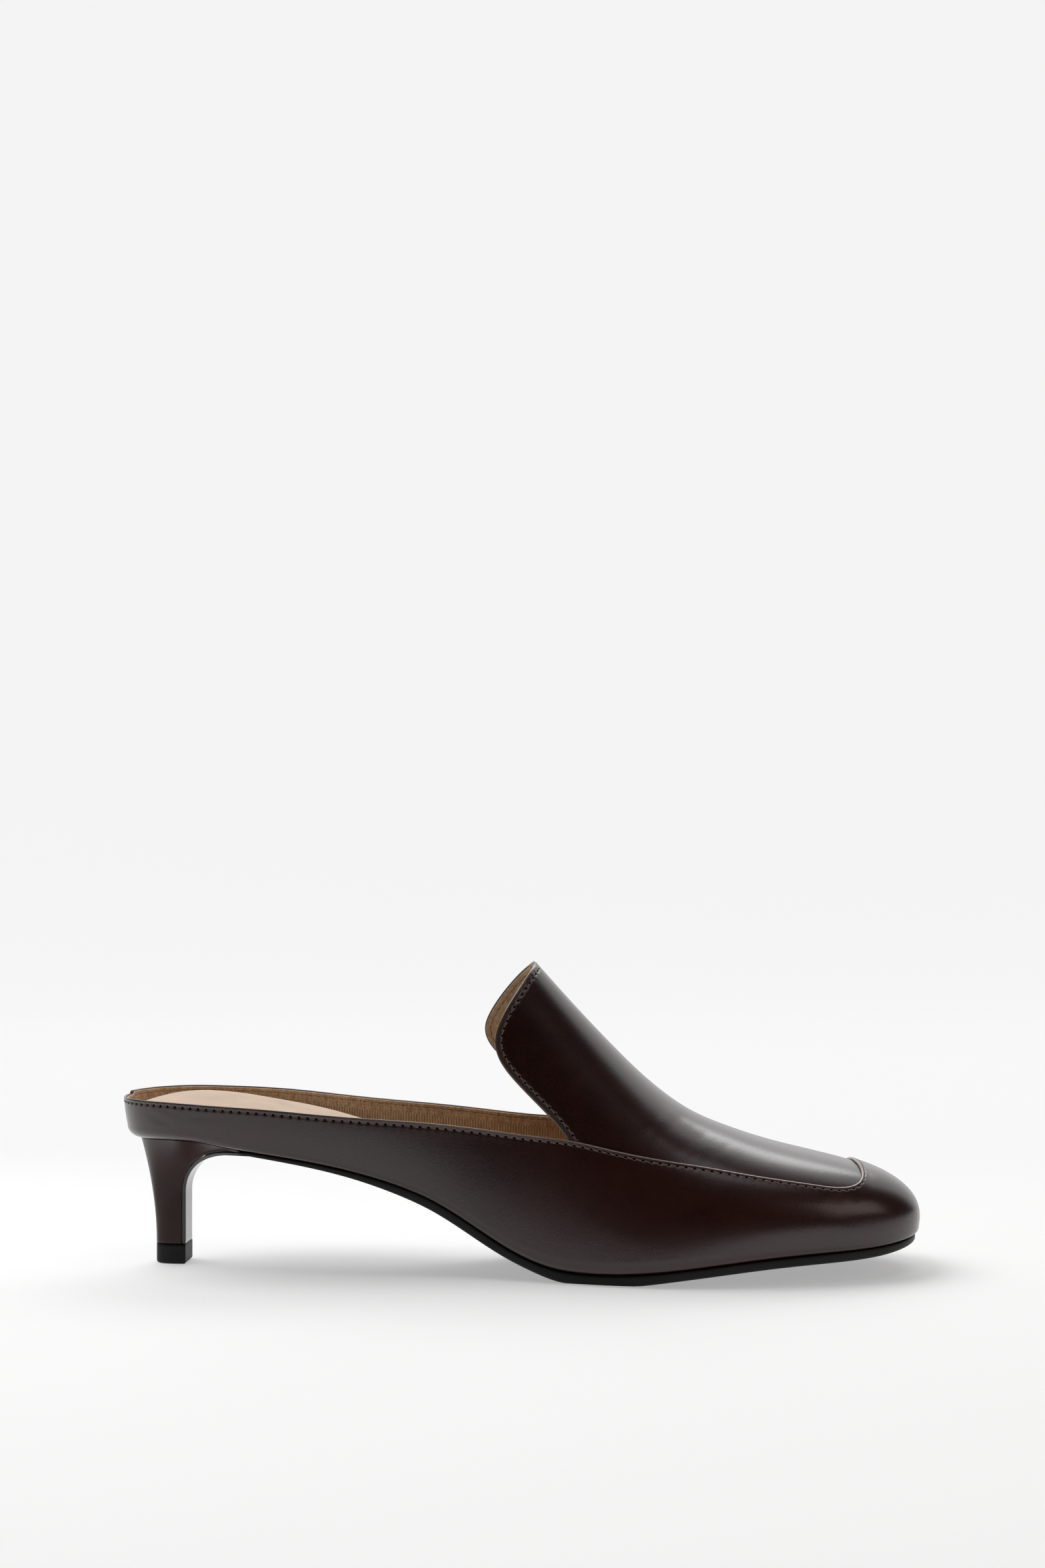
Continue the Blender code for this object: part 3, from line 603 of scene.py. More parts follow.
class Nodes:
    """A tree of nodes and the one way in which they are added."""

    def __init__(self, tree):
        self.tree = tree

    def node(self, kind, settings=None, values=None, output=0):
        """Adds a node: its settings first, then the values or links of its sockets."""
        made = self.tree.nodes.new(kind)
        for name, value in (settings or {}).items():
            setattr(made, name, value)
        for name, value in (values or {}).items():
            self.plug(made.inputs[name], value)
        return Socket(self, made.outputs[output])

    def plug(self, target, value):
        """Links a value to a socket, or sets the socket to it."""
        if isinstance(value, Socket):
            self.tree.links.new(value.socket, target)
        elif isinstance(value, (tuple, list)) and target.type == "RGBA":
            target.default_value = (*value[:3], 1.0)
        else:
            target.default_value = value


class Finish(Nodes):
    """A material and the nodes that feed its shader."""

    def __init__(self, name):
        self.material = bpy.data.materials.new(name)
        self.material.use_nodes = True
        super().__init__(self.material.node_tree)
        self.shader = self.tree.nodes["Principled BSDF"]
        self.place = self.node("ShaderNodeTexCoord", output="Object")

    def seam(self):
        """Stitches passed along a seam, and millimetres from its edge."""
        return self.axes(self.node("ShaderNodeUVMap", {"uv_map": "seam"}))[:2]

    def axes(self, vector):
        """The three parts of a vector."""
        split = self.tree.nodes.new("ShaderNodeSeparateXYZ")
        self.plug(split.inputs[0], vector)
        return tuple(Socket(self, output) for output in split.outputs)

    def noise(self, size, detail=3.0, roughness=0.5, distortion=0.0, scale=None):
        """Noise whose features are about size metres, finer along the axes with a high scale."""
        place = self.place
        if scale is not None:
            place = self.node("ShaderNodeMapping", values={"Vector": place, "Scale": scale})
        values = {"Vector": place, "Scale": 1.0 / size, "Detail": detail, "Roughness": roughness,
                  "Distortion": distortion}
        return self.node("ShaderNodeTexNoise", {"noise_dimensions": "3D"}, values)

    def cells(self, size, feature="F1"):
        """Distance within cells about size metres across."""
        settings = {"feature": feature, "voronoi_dimensions": "3D"}
        return self.node("ShaderNodeTexVoronoi", settings, {"Vector": self.place, "Scale": 1.0 / size},
                         output="Distance")

    def mix(self, share, first, second):
        """A colour between first and second."""
        return self.node("ShaderNodeMix", {"data_type": "RGBA"}, {0: share, 6: first, 7: second}, 2)

    def surface(self, **values):
        """Sets the shader's sockets, their names written with low lines for spaces."""
        for name, value in values.items():
            self.plug(self.shader.inputs[name.replace("_", " ")], value)

    def painted_hole_shade(self, mask, colour):
        """Mixes in a dull, dark shader where the mask shows: painted shade for the needle holes."""
        hole = self.node("ShaderNodeBsdfPrincipled", values={"Base Color": colour, "Roughness": 1.0,
                                                             "Specular IOR Level": 0.0})
        both = self.tree.nodes.new("ShaderNodeMixShader")
        self.plug(both.inputs[0], mask)
        self.tree.links.new(self.shader.outputs[0], both.inputs[1])
        self.tree.links.new(hole.socket, both.inputs[2])
        self.tree.links.new(both.outputs[0], self.tree.nodes["Material Output"].inputs["Surface"])

    def relief(self, height, distance, normal=None):
        """A bump whose height of one stands distance metres proud."""
        values = {"Height": height, "Distance": distance, "Strength": 1.0}
        if normal is not None:
            values["Normal"] = normal
        return self.node("ShaderNodeBump", values=values)


# ---------------------------------------------------------------------------------------------------
# Shapes
# ---------------------------------------------------------------------------------------------------

# Creases of the quarter's two sides, seen from the side: line of x, z; width; depth.
OUTER_CREASES = (
    (((-117.0, 49.6), (-109.0, 47.4), (-100.0, 46.4)), 0.9, 0.16),
    (((-115.0, 47.6), (-107.0, 45.6), (-99.5, 45.2)), 0.8, 0.13),
    (((-111.0, 50.6), (-104.0, 48.6), (-96.0, 48.0)), 0.8, 0.12),
    (((-104.0, 50.4), (-97.0, 48.8), (-91.0, 48.6)), 0.7, 0.08),
    (((-112.0, 45.2), (-104.0, 44.0), (-97.0, 44.2)), 0.9, 0.1),
    (((22.0, 30.0), (34.0, 24.0), (47.0, 21.0)), 4.5, 0.1),
    (((34.0, 34.0), (46.0, 28.5), (60.0, 26.0)), 4.0, 0.08),
    (((96.0, 20.5), (104.0, 17.5), (113.0, 17.0)), 2.6, 0.08),
)
INNER_CREASES = (
    (((-114.0, 49.5), (-106.0, 46.6), (-99.0, 46.0)), 0.9, 0.14),
    (((-108.0, 50.8), (-101.0, 48.6), (-94.0, 48.2)), 0.8, 0.1),
    (((14.0, 31.0), (28.0, 23.0), (44.0, 20.0)), 4.5, 0.12),
    (((30.0, 34.5), (44.0, 28.0), (58.0, 25.0)), 4.0, 0.1),
)

# Creases of the plug, seen from above: line of x, y; width; depth.
PLUG_CREASES = (
    (((40.0, -30.0), (47.0, -22.0), (52.0, -10.0), (54.0, 4.0)), 1.2, 0.05),
    (((47.0, -31.0), (54.0, -23.5), (60.0, -12.0), (63.0, 2.0)), 1.0, 0.05),
    (((55.0, -30.0), (62.0, -23.0), (67.0, -14.0)), 0.9, 0.05),
    (((36.0, -31.0), (41.0, -25.0), (45.0, -16.0)), 0.9, 0.05),
    (((50.0, -31.5), (55.0, -27.0), (58.0, -21.0)), 0.7, 0.025),
    (((43.0, 28.0), (51.0, 20.0), (56.0, 10.0)), 1.2, 0.03),
    (((51.0, 29.0), (59.0, 21.0), (64.0, 11.0)), 1.0, 0.03),
)

# Faint wrinkles of the sock, seen from above: line of x, y; width; depth.
SOCK_CREASES = (
    (((-104.0, -12.0), (-98.0, -2.0), (-99.0, 10.0)), 2.0, 0.16),
    (((-92.0, -15.0), (-86.0, -4.0), (-88.0, 9.0)), 2.2, 0.14),
    (((-78.0, -14.0), (-72.0, -3.0), (-75.0, 12.0)), 2.4, 0.16),
    (((-62.0, -15.0), (-57.0, -4.0), (-60.0, 10.0)), 2.2, 0.14),
    (((-48.0, -12.0), (-44.0, -2.0), (-46.0, 8.0)), 2.0, 0.12),
)

# Rows of the sheets near an edge: millimetres from it. Phases are places on one stitch, from -0.5 to
# 0.5, where the needle's hole is at nought.
QUARTER_ROWS = (6.5, 5.3, 4.3, 3.5, 2.85, 2.35, 2.0, 1.76, 1.55, 1.35, 1.15, 0.94, 0.74, 0.56)
QUARTER_INSIDE_ROWS = (0.7, 1.3, 2.2, 3.5, 5.0, 6.5)
TONGUE_ROWS = (7.5, 6.0, 4.8, 3.9, 3.2, 2.75, 2.45, 2.2, 2.0, 1.8, 1.55, 1.25, 0.95, 0.68)
TONGUE_LINING_ROWS = (0.55, 0.62, 0.8, 1.1, 1.5, 1.8, 2.1, 2.4, 2.9, 3.6, 4.6, 6.0, 7.5)
HOLE_PHASES = (-0.4, -0.17, 0.0, 0.17, 0.4)
LINING_PHASES = (-0.25, 0.25)
QUARTER_STITCH_ROW = 1.35
TONGUE_STITCH_ROW = 2.0

# How far from the edge each sheet's fold reaches, and how deep the stitch grooves and holes are.
QUARTER_FOLD = 0.4
PLUG_FOLD = 0.42
LINING_FOLD = 0.25
QUARTER_GROOVE = 0.05
TONGUE_GROOVE = 0.2
HOLE_DEPTH = 0.3

# Unevenness of the leathers and the sock: height, size and seed of each swelling.
QUARTER_SWELLS = ((0.08, 50.0, 3), (0.015, 13.0, 5))
PLUG_SWELLS = ((0.08, 60.0, 11), (0.012, 15.0, 12))
SOCK_SWELLS = ((0.16, 26.0, 21), (0.05, 9.0, 22))

# The puckers round the toe: height, stitches from one to the next, distance from the edge and reach.
PUCKER_HEIGHT = 0.06
PUCKER_STITCHES = 2.7
PUCKER_DISTANCE = 4.0
PUCKER_REACH = 2.2

# How far to both sides the tongue's tip is rounded, and how far the plug is tucked under the quarter.
TIP_ROUNDING = 5.0
TUCK_DEGREES = 9.0


def fold_rows(distance, top, base, count=7):
    """Distance from the edge and depth of the rows that roll over it, from the outside to the inside."""
    radius = 0.5 * (base - top)
    turns = np.linspace(0.0, np.pi, count)
    return distance * (1.0 - np.sin(turns)), top + radius * (1.0 - np.cos(turns))


# Beside a stitched edge: height of the bead and of the swelling between the holes, half the width of
# the groove, and half the length of a hole as a share of a stitch.
BEAD = 0.06
SWELLING = 0.035
GROOVE_REACH = 0.34
HOLE_REACH = 0.14


def stitch_row_relief(distance, phase, row, groove, hole):
    """Height of leather beside a stitched edge: a bead, the groove of the row and the needle's holes."""
    near = phase - np.round(phase)
    relief = BEAD * bump_at(distance, 0.42 * row, 0.4 * row)
    relief = relief - (groove + hole * bump_at(near, 0.0, HOLE_REACH)) * bump_at(distance, row, GROOVE_REACH)
    return relief - SWELLING * np.cos(2.0 * np.pi * near) * bump_at(distance, 0.6 * row, row)


def edge_rate(ribs, angle):
    """Millimetres along the rib for each degree, just below an angle."""
    return np.linalg.norm(ribs.at(angle) - ribs.at(angle - 2.0), axis=-1) / 2.0


def quarter_places(pitch, phases):
    """Ribs at the given phases of every stitch of the quarter's edge, the edge's degrees on them, the
    millimetres for a degree there, the stitches passed, and their count."""
    lengths = np.linspace(0.0, OUTLINE_LENGTH, 2400)
    seam = Stitching(Ribs(lengths).at(edge_angle(lengths)), pitch)
    share = seam.stations(phases)
    s = seam.along(np.mod(share, 1.0), lengths)[:, None]
    ribs = Ribs(s)
    edge = edge_angle(s)
    return ribs, edge, edge_rate(ribs, edge), share * seam.count, seam.count


def looped_coordinates(phase, count, down):
    """Seam coordinates of a tube bent into a ring: stitches passed, and millimetres from the edge."""
    coordinates = np.empty((down.shape[0] + 1, down.shape[1] + 1, 2))
    coordinates[..., 0] = np.append(phase, phase[0] + count)[:, None]
    coordinates[:-1, :-1, 1] = down
    coordinates[-1, :-1, 1] = down[0]
    coordinates[:, -1, 1] = coordinates[:, 0, 1]
    return coordinates


def quarter_relief(points, distance, phase):
    """Creases, puckers and gentle unevenness of the quarter's outer surface."""
    side = points[..., [0, 2]]
    outer = crease_relief(side, OUTER_CREASES)
    inner = crease_relief(side, INNER_CREASES)
    relief = np.where(points[..., 1] < EDGE_FRONT_Y, outer, inner)
    front = smooth_step(points[..., 0], 78.0, 100.0)
    pleats = 0.5 + 0.5 * np.sin(2.0 * np.pi * phase / PUCKER_STITCHES + 1.4 * np.sin(phase * 0.61))
    relief = relief - PUCKER_HEIGHT * front * pleats * bump_at(distance, PUCKER_DISTANCE, PUCKER_REACH)
    return (relief + unevenness(points, QUARTER_SWELLS)) * smooth_step(distance, 1.0, 4.0)


def quarter(pitch, finish):
    """The quarter and mudguard in one piece of leather, folded over along its edge."""
    ribs, edge, rate, phase, count = quarter_places(pitch, HOLE_PHASES)
    wall_top = edge - QUARTER_ROWS[0] / rate
    wall = wall_top * np.linspace(0.0, 1.0, 27)[None, :-1]
    roll = np.broadcast_to(np.linspace(-90.0, 0.0, 9)[None, :-1], (len(edge), 8))
    near = edge - np.array(QUARTER_ROWS)[None, :] / rate
    outer = np.concatenate([roll, wall, near], axis=1)
    distance = (edge - outer) * rate
    points = ribs.at(outer)
    phases = np.broadcast_to(phase[:, None], outer.shape)
    relief = quarter_relief(points, distance, phases)
    relief += stitch_row_relief(distance, phases, QUARTER_STITCH_ROW, QUARTER_GROOVE, HOLE_DEPTH)
    relief = relief * smooth_step(outer, -60.0, 0.0)
    fold_distance, fold_depth = fold_rows(QUARTER_FOLD, 0.0, LEATHER)
    fold = edge - fold_distance[None, :] / rate
    inside = edge - np.array(QUARTER_INSIDE_ROWS)[None, :] / rate
    lower = wall_top * np.linspace(0.8, 0.0, 5)[None, :]
    under = np.broadcast_to(np.array([-45.0, -90.0])[None, :], (len(edge), 2))
    inner = np.concatenate([inside, lower, under], axis=1)
    margin = ribs.feather - ribs.out * LASTING_MARGIN
    base = seat_height(margin)
    loop = [joined(margin, base), ribs.at(outer, -relief), ribs.at(fold, fold_depth[None, :]),
            ribs.at(inner, LEATHER), joined(margin, base + LEATHER)]
    grid = np.concatenate(loop, axis=1)
    down = np.concatenate([distance[:, :1] + 8.0, distance, np.broadcast_to(fold_distance, fold.shape),
                           (inner - edge) * rate, (inner[:, -1:] - edge) * rate - 8.0], axis=1)
    return grid_object("quarter", grid, finish, wrap_rows=True, wrap_columns=True,
                       coordinates=looped_coordinates(phase, count, down))


# The quarter's lining: how far it stops short of the edge, how much lower it runs in front and from
# where to where, the degrees of its foot, and its rows as shares of its height.
LINING_SHORT = 0.35
LINING_DROP = 12.5
LINING_DROP_X = (11.5, 27.0)
LINING_FOOT = -25.0
LINING_ROWS = (0.0, 0.02, 0.05, 0.09, 0.13, 0.17, 0.22, 0.28, 0.35, 0.43, 0.52, 0.62, 0.75, 0.88, 1.0)


def quarter_lining(pitch, finish):
    """The quarter's lining: it comes up just short of the fold, and in front it stops under the plug."""
    ribs, edge, rate, phase, count = quarter_places(pitch, LINING_PHASES)
    front = smooth_step(ribs.at(edge)[..., 0], *LINING_DROP_X)
    lowered = LINING_SHORT + LINING_DROP * front
    fold_distance, fold_depth = fold_rows(LINING_FOLD, LINING_TOP, LINING_BASE, 5)
    top = edge - lowered / rate
    fold = top - fold_distance[None, :] / rate
    start = top - 0.3 / rate
    inner = start + (LINING_FOOT - start) * np.array(LINING_ROWS)[None, :]
    outer = inner[:, ::-3]
    grid = np.concatenate([ribs.at(outer, LINING_TOP), ribs.at(fold, fold_depth[None, :]),
                           ribs.at(inner, LINING_BASE)], axis=1)
    down = np.concatenate([(outer - edge) * rate, np.broadcast_to(0.0 * fold_distance, fold.shape),
                           (edge - inner) * rate], axis=1)
    return grid_object("quarter_lining", grid, finish, wrap_rows=True, wrap_columns=True,
                       coordinates=looped_coordinates(phase, count, down))


def vamp_point(station, angle, depth=0.0):
    """Points over the vamp: a length along the outer feather line, and an angle from the outer side
    over the ridge, at 90, to the inner side."""
    inner = angle > 90.0
    ribs = Ribs(np.where(inner, inner_length(station), station))
    return ribs.at(np.where(inner, 180.0 - angle, angle), depth)


def vamp_slopes(station, angle, depth):
    """How the vamp's points move for each millimetre of station and each degree of angle."""
    by_station = (vamp_point(station + 0.2, angle, depth) - vamp_point(station - 0.2, angle, depth)) / 0.4
    by_angle = vamp_point(station, angle + 0.2, depth) - vamp_point(station, angle - 0.2, depth)
    return by_station, by_angle / 0.4


def rounded(passed, values, reach, count=601):
    """Values at even steps of a line, with each corner eased over a reach to both sides."""
    steps = np.linspace(0.0, passed[-1], count)
    even = np.interp(steps, passed, values)
    half = int(round(reach / steps[1]))
    window = np.hanning(2 * half + 3)[1:-1]
    before = 2.0 * even[0] - even[half:0:-1]
    after = 2.0 * even[-1] - even[-2 : -half - 2 : -1]
    return np.convolve(np.concatenate([before, even, after]), window / window.sum(), "valid")


def tongue_edge(samples=150):
    """Free edge of the tongue, over from the outer to the inner side: stations, angles and points."""
    profile = Spline(range(len(TONGUE)), TONGUE)

    def above_ridge(t):
        x, z = profile(t)[..., 0], profile(t)[..., 1]
        return z - RIDGE_CURVE(x)[..., 1] + PLUG_TOP * np.hypot(1.0, RIDGE_CURVE.slope(x)[..., 1])

    tip = float(bisect(above_ridge, 9.0, 11.0))
    t = tip * (1.0 - (1.0 - np.linspace(0.0, 1.0, samples)) ** 2)
    halves = []
    for inner in (False, True):
        x, z = profile(t)[:, 0], profile(t)[:, 1]
        if inner:
            x = x + TONGUE_INNER_LEAD * (1.0 - smooth_step(z, TONGUE_LEAD_LOW_Z, TONGUE_LEAD_HIGH_Z))
        y = np.zeros(samples)
        for _ in range(6):
            station = length_at(x - TONGUE_SKEW * y, False)
            ribs = Ribs(inner_length(station) if inner else station)
            angle = bisect(lambda degrees: ribs.at(degrees, PLUG_TOP)[..., 2] - z,
                           np.zeros(samples), np.full(samples, 90.0))
            y = ribs.at(angle, PLUG_TOP)[..., 1]
        halves.append((station, 180.0 - angle if inner else angle))
    middle = 0.5 * (halves[0][0][-1] + halves[1][0][-1])
    station = np.concatenate([halves[0][0][:-1], [middle], halves[1][0][-2::-1]])
    angle = np.concatenate([halves[0][1][:-1], [90.0], halves[1][1][-2::-1]])
    passed = running_length(vamp_point(station, angle, PLUG_TOP))
    station, angle = rounded(passed, station, TIP_ROUNDING), rounded(passed, angle, TIP_ROUNDING)
    return station, angle, vamp_point(station, angle, PLUG_TOP)


def tongue_places(pitch, phases):
    """Stations and angles of the tongue's free edge at the given phases of every stitch, and the
    stitches passed."""
    station, angle, points = tongue_edge()
    seam = Stitching(points, pitch)
    share = seam.stations(phases)
    even = (share - share[0]) / (share[-1] - share[0])
    return seam.along(even, station), seam.along(even, angle), share * seam.count


def edge_offsets(station, angle, distances):
    """Lines that run beside the tongue's edge at rising distances from it, as stations and angles."""
    rows = {}
    passed = 0.0
    for distance in sorted(distances):
        points = vamp_point(station, angle, PLUG_TOP)
        along = unit(np.gradient(points, axis=0))
        inward = unit(np.cross(vamp_point(station, angle, 0.0) - points, along))
        inward *= np.sign(inward[:, :1]) * (distance - passed)
        by_station, by_angle = vamp_slopes(station, angle, PLUG_TOP)
        a = (by_station**2).sum(-1)
        b = (by_station * by_angle).sum(-1)
        c = (by_angle**2).sum(-1)
        first = (by_station * inward).sum(-1)
        second = (by_angle * inward).sum(-1)
        determinant = a * c - b * b
        station = station + (c * first - b * second) / determinant
        angle = angle + (a * second - b * first) / determinant
        passed = distance
        rows[distance] = (station, angle)
    return rows


def vamp_rows(station, angle, shares):
    """Lines from one beside the tongue's edge to the middle of the toe, as stations and angles."""
    def low(at):
        return edge_angle(at) - TUCK_DEGREES

    def high(at):
        return 180.0 - edge_angle(inner_length(at)) + TUCK_DEGREES

    across = (angle - low(station)) / (high(station) - low(station))
    count = len(station)
    even = np.arange(count) / (count - 1.0)
    rows = []
    for share in shares:
        settle = smooth_step(share, 0.0, 0.45)
        at = station + (TOE_LENGTH - station) * share
        here = across * (1.0 - settle) + even * settle
        rows.append((at, low(at) + (high(at) - low(at)) * here))
    return rows


def plug_relief(points, across_edge):
    """Creases of the plug and its gentle unevenness, which fade towards its edge."""
    relief = crease_relief(points[..., :2], PLUG_CREASES) + unevenness(points, PLUG_SWELLS)
    return relief * smooth_step(across_edge, 2.5, 8.0)


def tapered(depth, middle, count):
    """Depth across a sheet whose two outermost columns are skived to nothing."""
    depth = np.broadcast_to(depth, (count,)).copy()
    depth[0] = depth[-1] = middle
    return depth


def join_where_ribs_meet(obj, depths, reach=1.2, layer=0.4):
    """Joins the crowded points around the place where the toe's ribs meet, so that no faces cross."""
    with editing(obj.data) as shape:
        for depth in depths:
            meeting = Vector(in_frame(vamp_point(np.array(TOE_LENGTH), np.array(90.0), np.array(depth))))
            crowded = [vert for vert in shape.verts if abs(vert.co.z - meeting.z) < layer * MM
                       and (vert.co - meeting).xy.length < reach * MM]
            if crowded:
                centre = sum((vert.co for vert in crowded), Vector()) / len(crowded)
                bmesh.ops.pointmerge(shape, verts=crowded, merge_co=centre)
        bmesh.ops.recalc_face_normals(shape, faces=shape.faces)
    return obj


# Instead of millimetres from the edge, for the parts of a sheet that are far from its seam.
FAR_DOWN = -5.0


def sheet_object(name, rows, phase, finish):
    """A sheet from rows that run beside the tongue's edge, each with its distance from the edge."""
    grid = np.array([points for points, _ in rows]).transpose(1, 0, 2)
    coordinates = np.empty((*grid.shape[:2], 2))
    coordinates[..., 0] = phase[:, None]
    coordinates[..., 1] = np.array([np.broadcast_to(down, phase.shape) for _, down in rows]).T
    return grid_object(name, grid, finish, coordinates=coordinates)


def plug(pitch, finish):
    """The plug and tongue in one piece of leather, folded over along the tongue's free edge."""
    station, angle, phase = tongue_places(pitch, HOLE_PHASES)
    count = len(phase)
    middle = 0.5 * (PLUG_TOP + PLUG_BASE)
    fold_distance, fold_depth = fold_rows(PLUG_FOLD, PLUG_TOP, PLUG_BASE)
    near = edge_offsets(station, angle, (*TONGUE_ROWS, *fold_distance[fold_distance > 0.0], PLUG_FOLD))
    toward_toe = vamp_rows(*near[TONGUE_ROWS[0]], np.linspace(0.0, 1.0, 112)[1:] ** 1.05)
    edge = vamp_point(station, angle)
    outer = toward_toe[::-1] + [near[distance] for distance in TONGUE_ROWS]
    distance = np.array([np.linalg.norm(vamp_point(*here) - edge, axis=-1) for here in toward_toe[::-1]]
                        + [np.full(count, distance) for distance in TONGUE_ROWS])
    at, over = np.array(outer).transpose(1, 0, 2)
    relief = plug_relief(vamp_point(at, over), distance)
    relief += stitch_row_relief(distance, phase[None, :], TONGUE_STITCH_ROW, TONGUE_GROOVE, HOLE_DEPTH)
    depth = PLUG_TOP - relief
    depth[:, [0, -1]] = middle
    rows = list(zip(vamp_point(at, over, depth), distance))
    for distance, depth in zip(fold_distance, fold_depth):
        here = near[distance] if distance > 1e-6 else (station, angle)
        rows.append((vamp_point(*here, tapered(depth, middle, count)), distance))
    for here in [near[distance] for distance in TONGUE_ROWS[::-3]] + toward_toe[::4] + [toward_toe[-1]]:
        rows.append((vamp_point(*here, tapered(PLUG_BASE, middle, count)), FAR_DOWN))
    return join_where_ribs_meet(sheet_object("plug", rows, phase, finish), (PLUG_TOP, PLUG_BASE))


# Millimetres that one row of the plug's lining counts for towards the toe.
LINING_ROW_STEP = 1.6


def plug_lining(pitch, finish):
    """Lining of the tongue and plug, a little short of the tongue's fold."""
    station, angle, phase = tongue_places(pitch, LINING_PHASES)
    count = len(phase)
    middle = 0.5 * (TONGUE_LINING_TOP + TONGUE_LINING_BASE)
    tip, rounded_in, *steps = TONGUE_LINING_ROWS
    near = edge_offsets(station, angle, TONGUE_LINING_ROWS)
    toward_toe = vamp_rows(*near[steps[-1]], np.linspace(0.0, 1.0, 56)[1:])

    def row(here, depth, down):
        return vamp_point(*here, tapered(depth, middle, count)), down

    rows = [row(here, TONGUE_LINING_TOP, FAR_DOWN)
            for here in toward_toe[::-4] + [near[distance] for distance in TONGUE_LINING_ROWS[:0:-3]]]
    rows += [row(near[rounded_in], TONGUE_LINING_TOP + 0.06, rounded_in), row(near[tip], middle, tip),
             row(near[rounded_in], TONGUE_LINING_BASE - 0.06, rounded_in)]
    rows += [row(near[distance], TONGUE_LINING_BASE, distance) for distance in steps]
    rows += [row(here, TONGUE_LINING_BASE, steps[-1] + LINING_ROW_STEP * (i + 1))
             for i, here in enumerate(toward_toe)]
    return sheet_object("plug_lining", rows, phase, finish)


def paired_stations(count, start_x=None):
    """Outer and inner feather lengths at the same x: crowded at both ends, or at the toe from an x on."""
    share = np.linspace(0.0, 1.0, count)
    if start_x is None:
        start, passed = 0.0, share - 0.45 * np.sin(2.0 * np.pi * share) / (2.0 * np.pi)
    else:
        start, passed = float(length_at(start_x, False)), np.sin(0.5 * np.pi * share) ** 0.9
    outer = start + (TOE_LENGTH - start) * passed
    return outer, inner_length(outer)


# How far the sock's side stays inside the last, and how much its rim is rounded off.
SOCK_INSET = 2.2
SOCK_ROUNDING = 0.25


def insole(finish):
    """The padded insole, rounded at its rim, crowned along its middle and a little uneven."""
    outer, inner = paired_stations(230)
    rim_shares = np.array([0.015, 0.03, 0.05, 0.075])
    across = np.concatenate([rim_shares, np.linspace(0.11, 0.89, 34), 1.0 - rim_shares[::-1]])
    sides = []
    for s in (outer, inner):
        ribs = Ribs(s)
        rim = ribs.degrees_at_height(lambda x: INSOLE_CURVE(x)[..., 0])
        side = [ribs.at(angle, SOCK_INSET) for angle in
                (np.full(s.shape, -90.0), np.full(s.shape, -35.0), 0.5 * rim, 0.85 * rim)]
        side[0][..., :2] -= ribs.out * 0.6
        sides.append(side + [ribs.at(rim, SOCK_INSET + 0.05) - np.array([0.0, 0.0, SOCK_ROUNDING])])
    left, right = sides
    start, end = left[-1][:, None], right[-1][:, None]
    top = start + (end - start) * across[None, :, None]
    width = np.linalg.norm(end - start, axis=-1)
    levels = INSOLE_CURVE(top[..., 0])
    crown = smooth_step(width, 0.0, 24.0) * (levels[..., 1] - levels[..., 0])
    lift = crown * np.sin(np.pi * across[None, :]) ** 0.8
    from_rim = np.minimum(across, 1.0 - across)[None, :] * width
    rounding = SOCK_ROUNDING * smooth_step(from_rim, 0.0, 2.2) * smooth_step(width, 0.0, 12.0)
    relief = unevenness(top, SOCK_SWELLS) + crease_relief(top[..., :2], SOCK_CREASES)
    top[..., 2] += lift + rounding + relief * smooth_step(from_rim, 1.0, 7.0)
    grid = np.concatenate([np.stack(left, axis=1), top, np.stack(right[::-1], axis=1)], axis=1)
    return grid_object("sock", grid, finish, wrap_columns=True)


def lift_outline(turn, front, inset=0.0):
    """The top piece's outline from above, round its rear from -Y, with its front at an x."""
    side = np.sign(np.cos(turn)) * abs(np.cos(turn)) ** LIFT_CORNER
    x = front + (LIFT_BACK_X + inset - front) * np.sin(turn) ** LIFT_CORNER
    return np.stack([x, -(LIFT_HALF_WIDTH - inset) * side], axis=-1)


def heel_rings(count=96):
    """Matching rings of the heel: the seat's outline and the top piece's, rear side round from -Y."""
    start = float(length_at(HEEL_FRONT_X, False))
    end = OUTLINE_LENGTH - float(length_at(HEEL_FRONT_X, True))
    front = LIFT_FRONT_X - FLAP_THICKNESS - GAP
    share = np.linspace(0.0, 1.0, count + 1)
    places = np.mod(start - (start + end) * share, OUTLINE_LENGTH)
    plan = outline_point(places, np.full(count + 1, -HEEL_INSET))
    seat = joined(plan, seat_height(plan) - GAP)
    return seat, joined(lift_outline(np.pi * share, front), np.full(count + 1, LIFT_TOP_Z + GAP))


def heel_points(seat, lift, level):
    """Points of the heel's side, between the seat and the lift, by the law for their place."""
    law = HEEL_LAW_CURVE(seat[..., 0])
    drawn = (1.0 - (1.0 - np.minimum(level / law[..., 0], 1.0)) ** law[..., 1]) ** (1.0 / law[..., 2])
    plan = seat[..., :2] + (lift[..., :2] - seat[..., :2]) * drawn[..., None]
    return joined(plan, seat[..., 2] + (lift[..., 2] - seat[..., 2]) * level)


def heel(finish):
    """The covered heel block, hollowed at the back and drawn forward in a wedge under the arch."""
    seat, lift = heel_rings()
    top = seat.copy()
    seat[0, 2] = seat[-1, 2] = HEEL_FRONT_Z
    levels = np.concatenate([[0.0, 0.002, 0.006, 0.012], np.linspace(0.02, 1.0, 60) ** 1.5])
    levels = np.unique(np.round(levels, 5))
    grid = np.array([top] + [heel_points(seat, lift, level) for level in levels])
    middle = grid.mean(axis=1, keepdims=True)
    for row, pull in ((1, 0.0035), (2, 0.0012)):
        grid[row, :, :2] += (middle[row, :, :2] - grid[row, :, :2]) * pull
    return closed_ends(grid_object("heel_cover", grid, finish, wrap_columns=True))


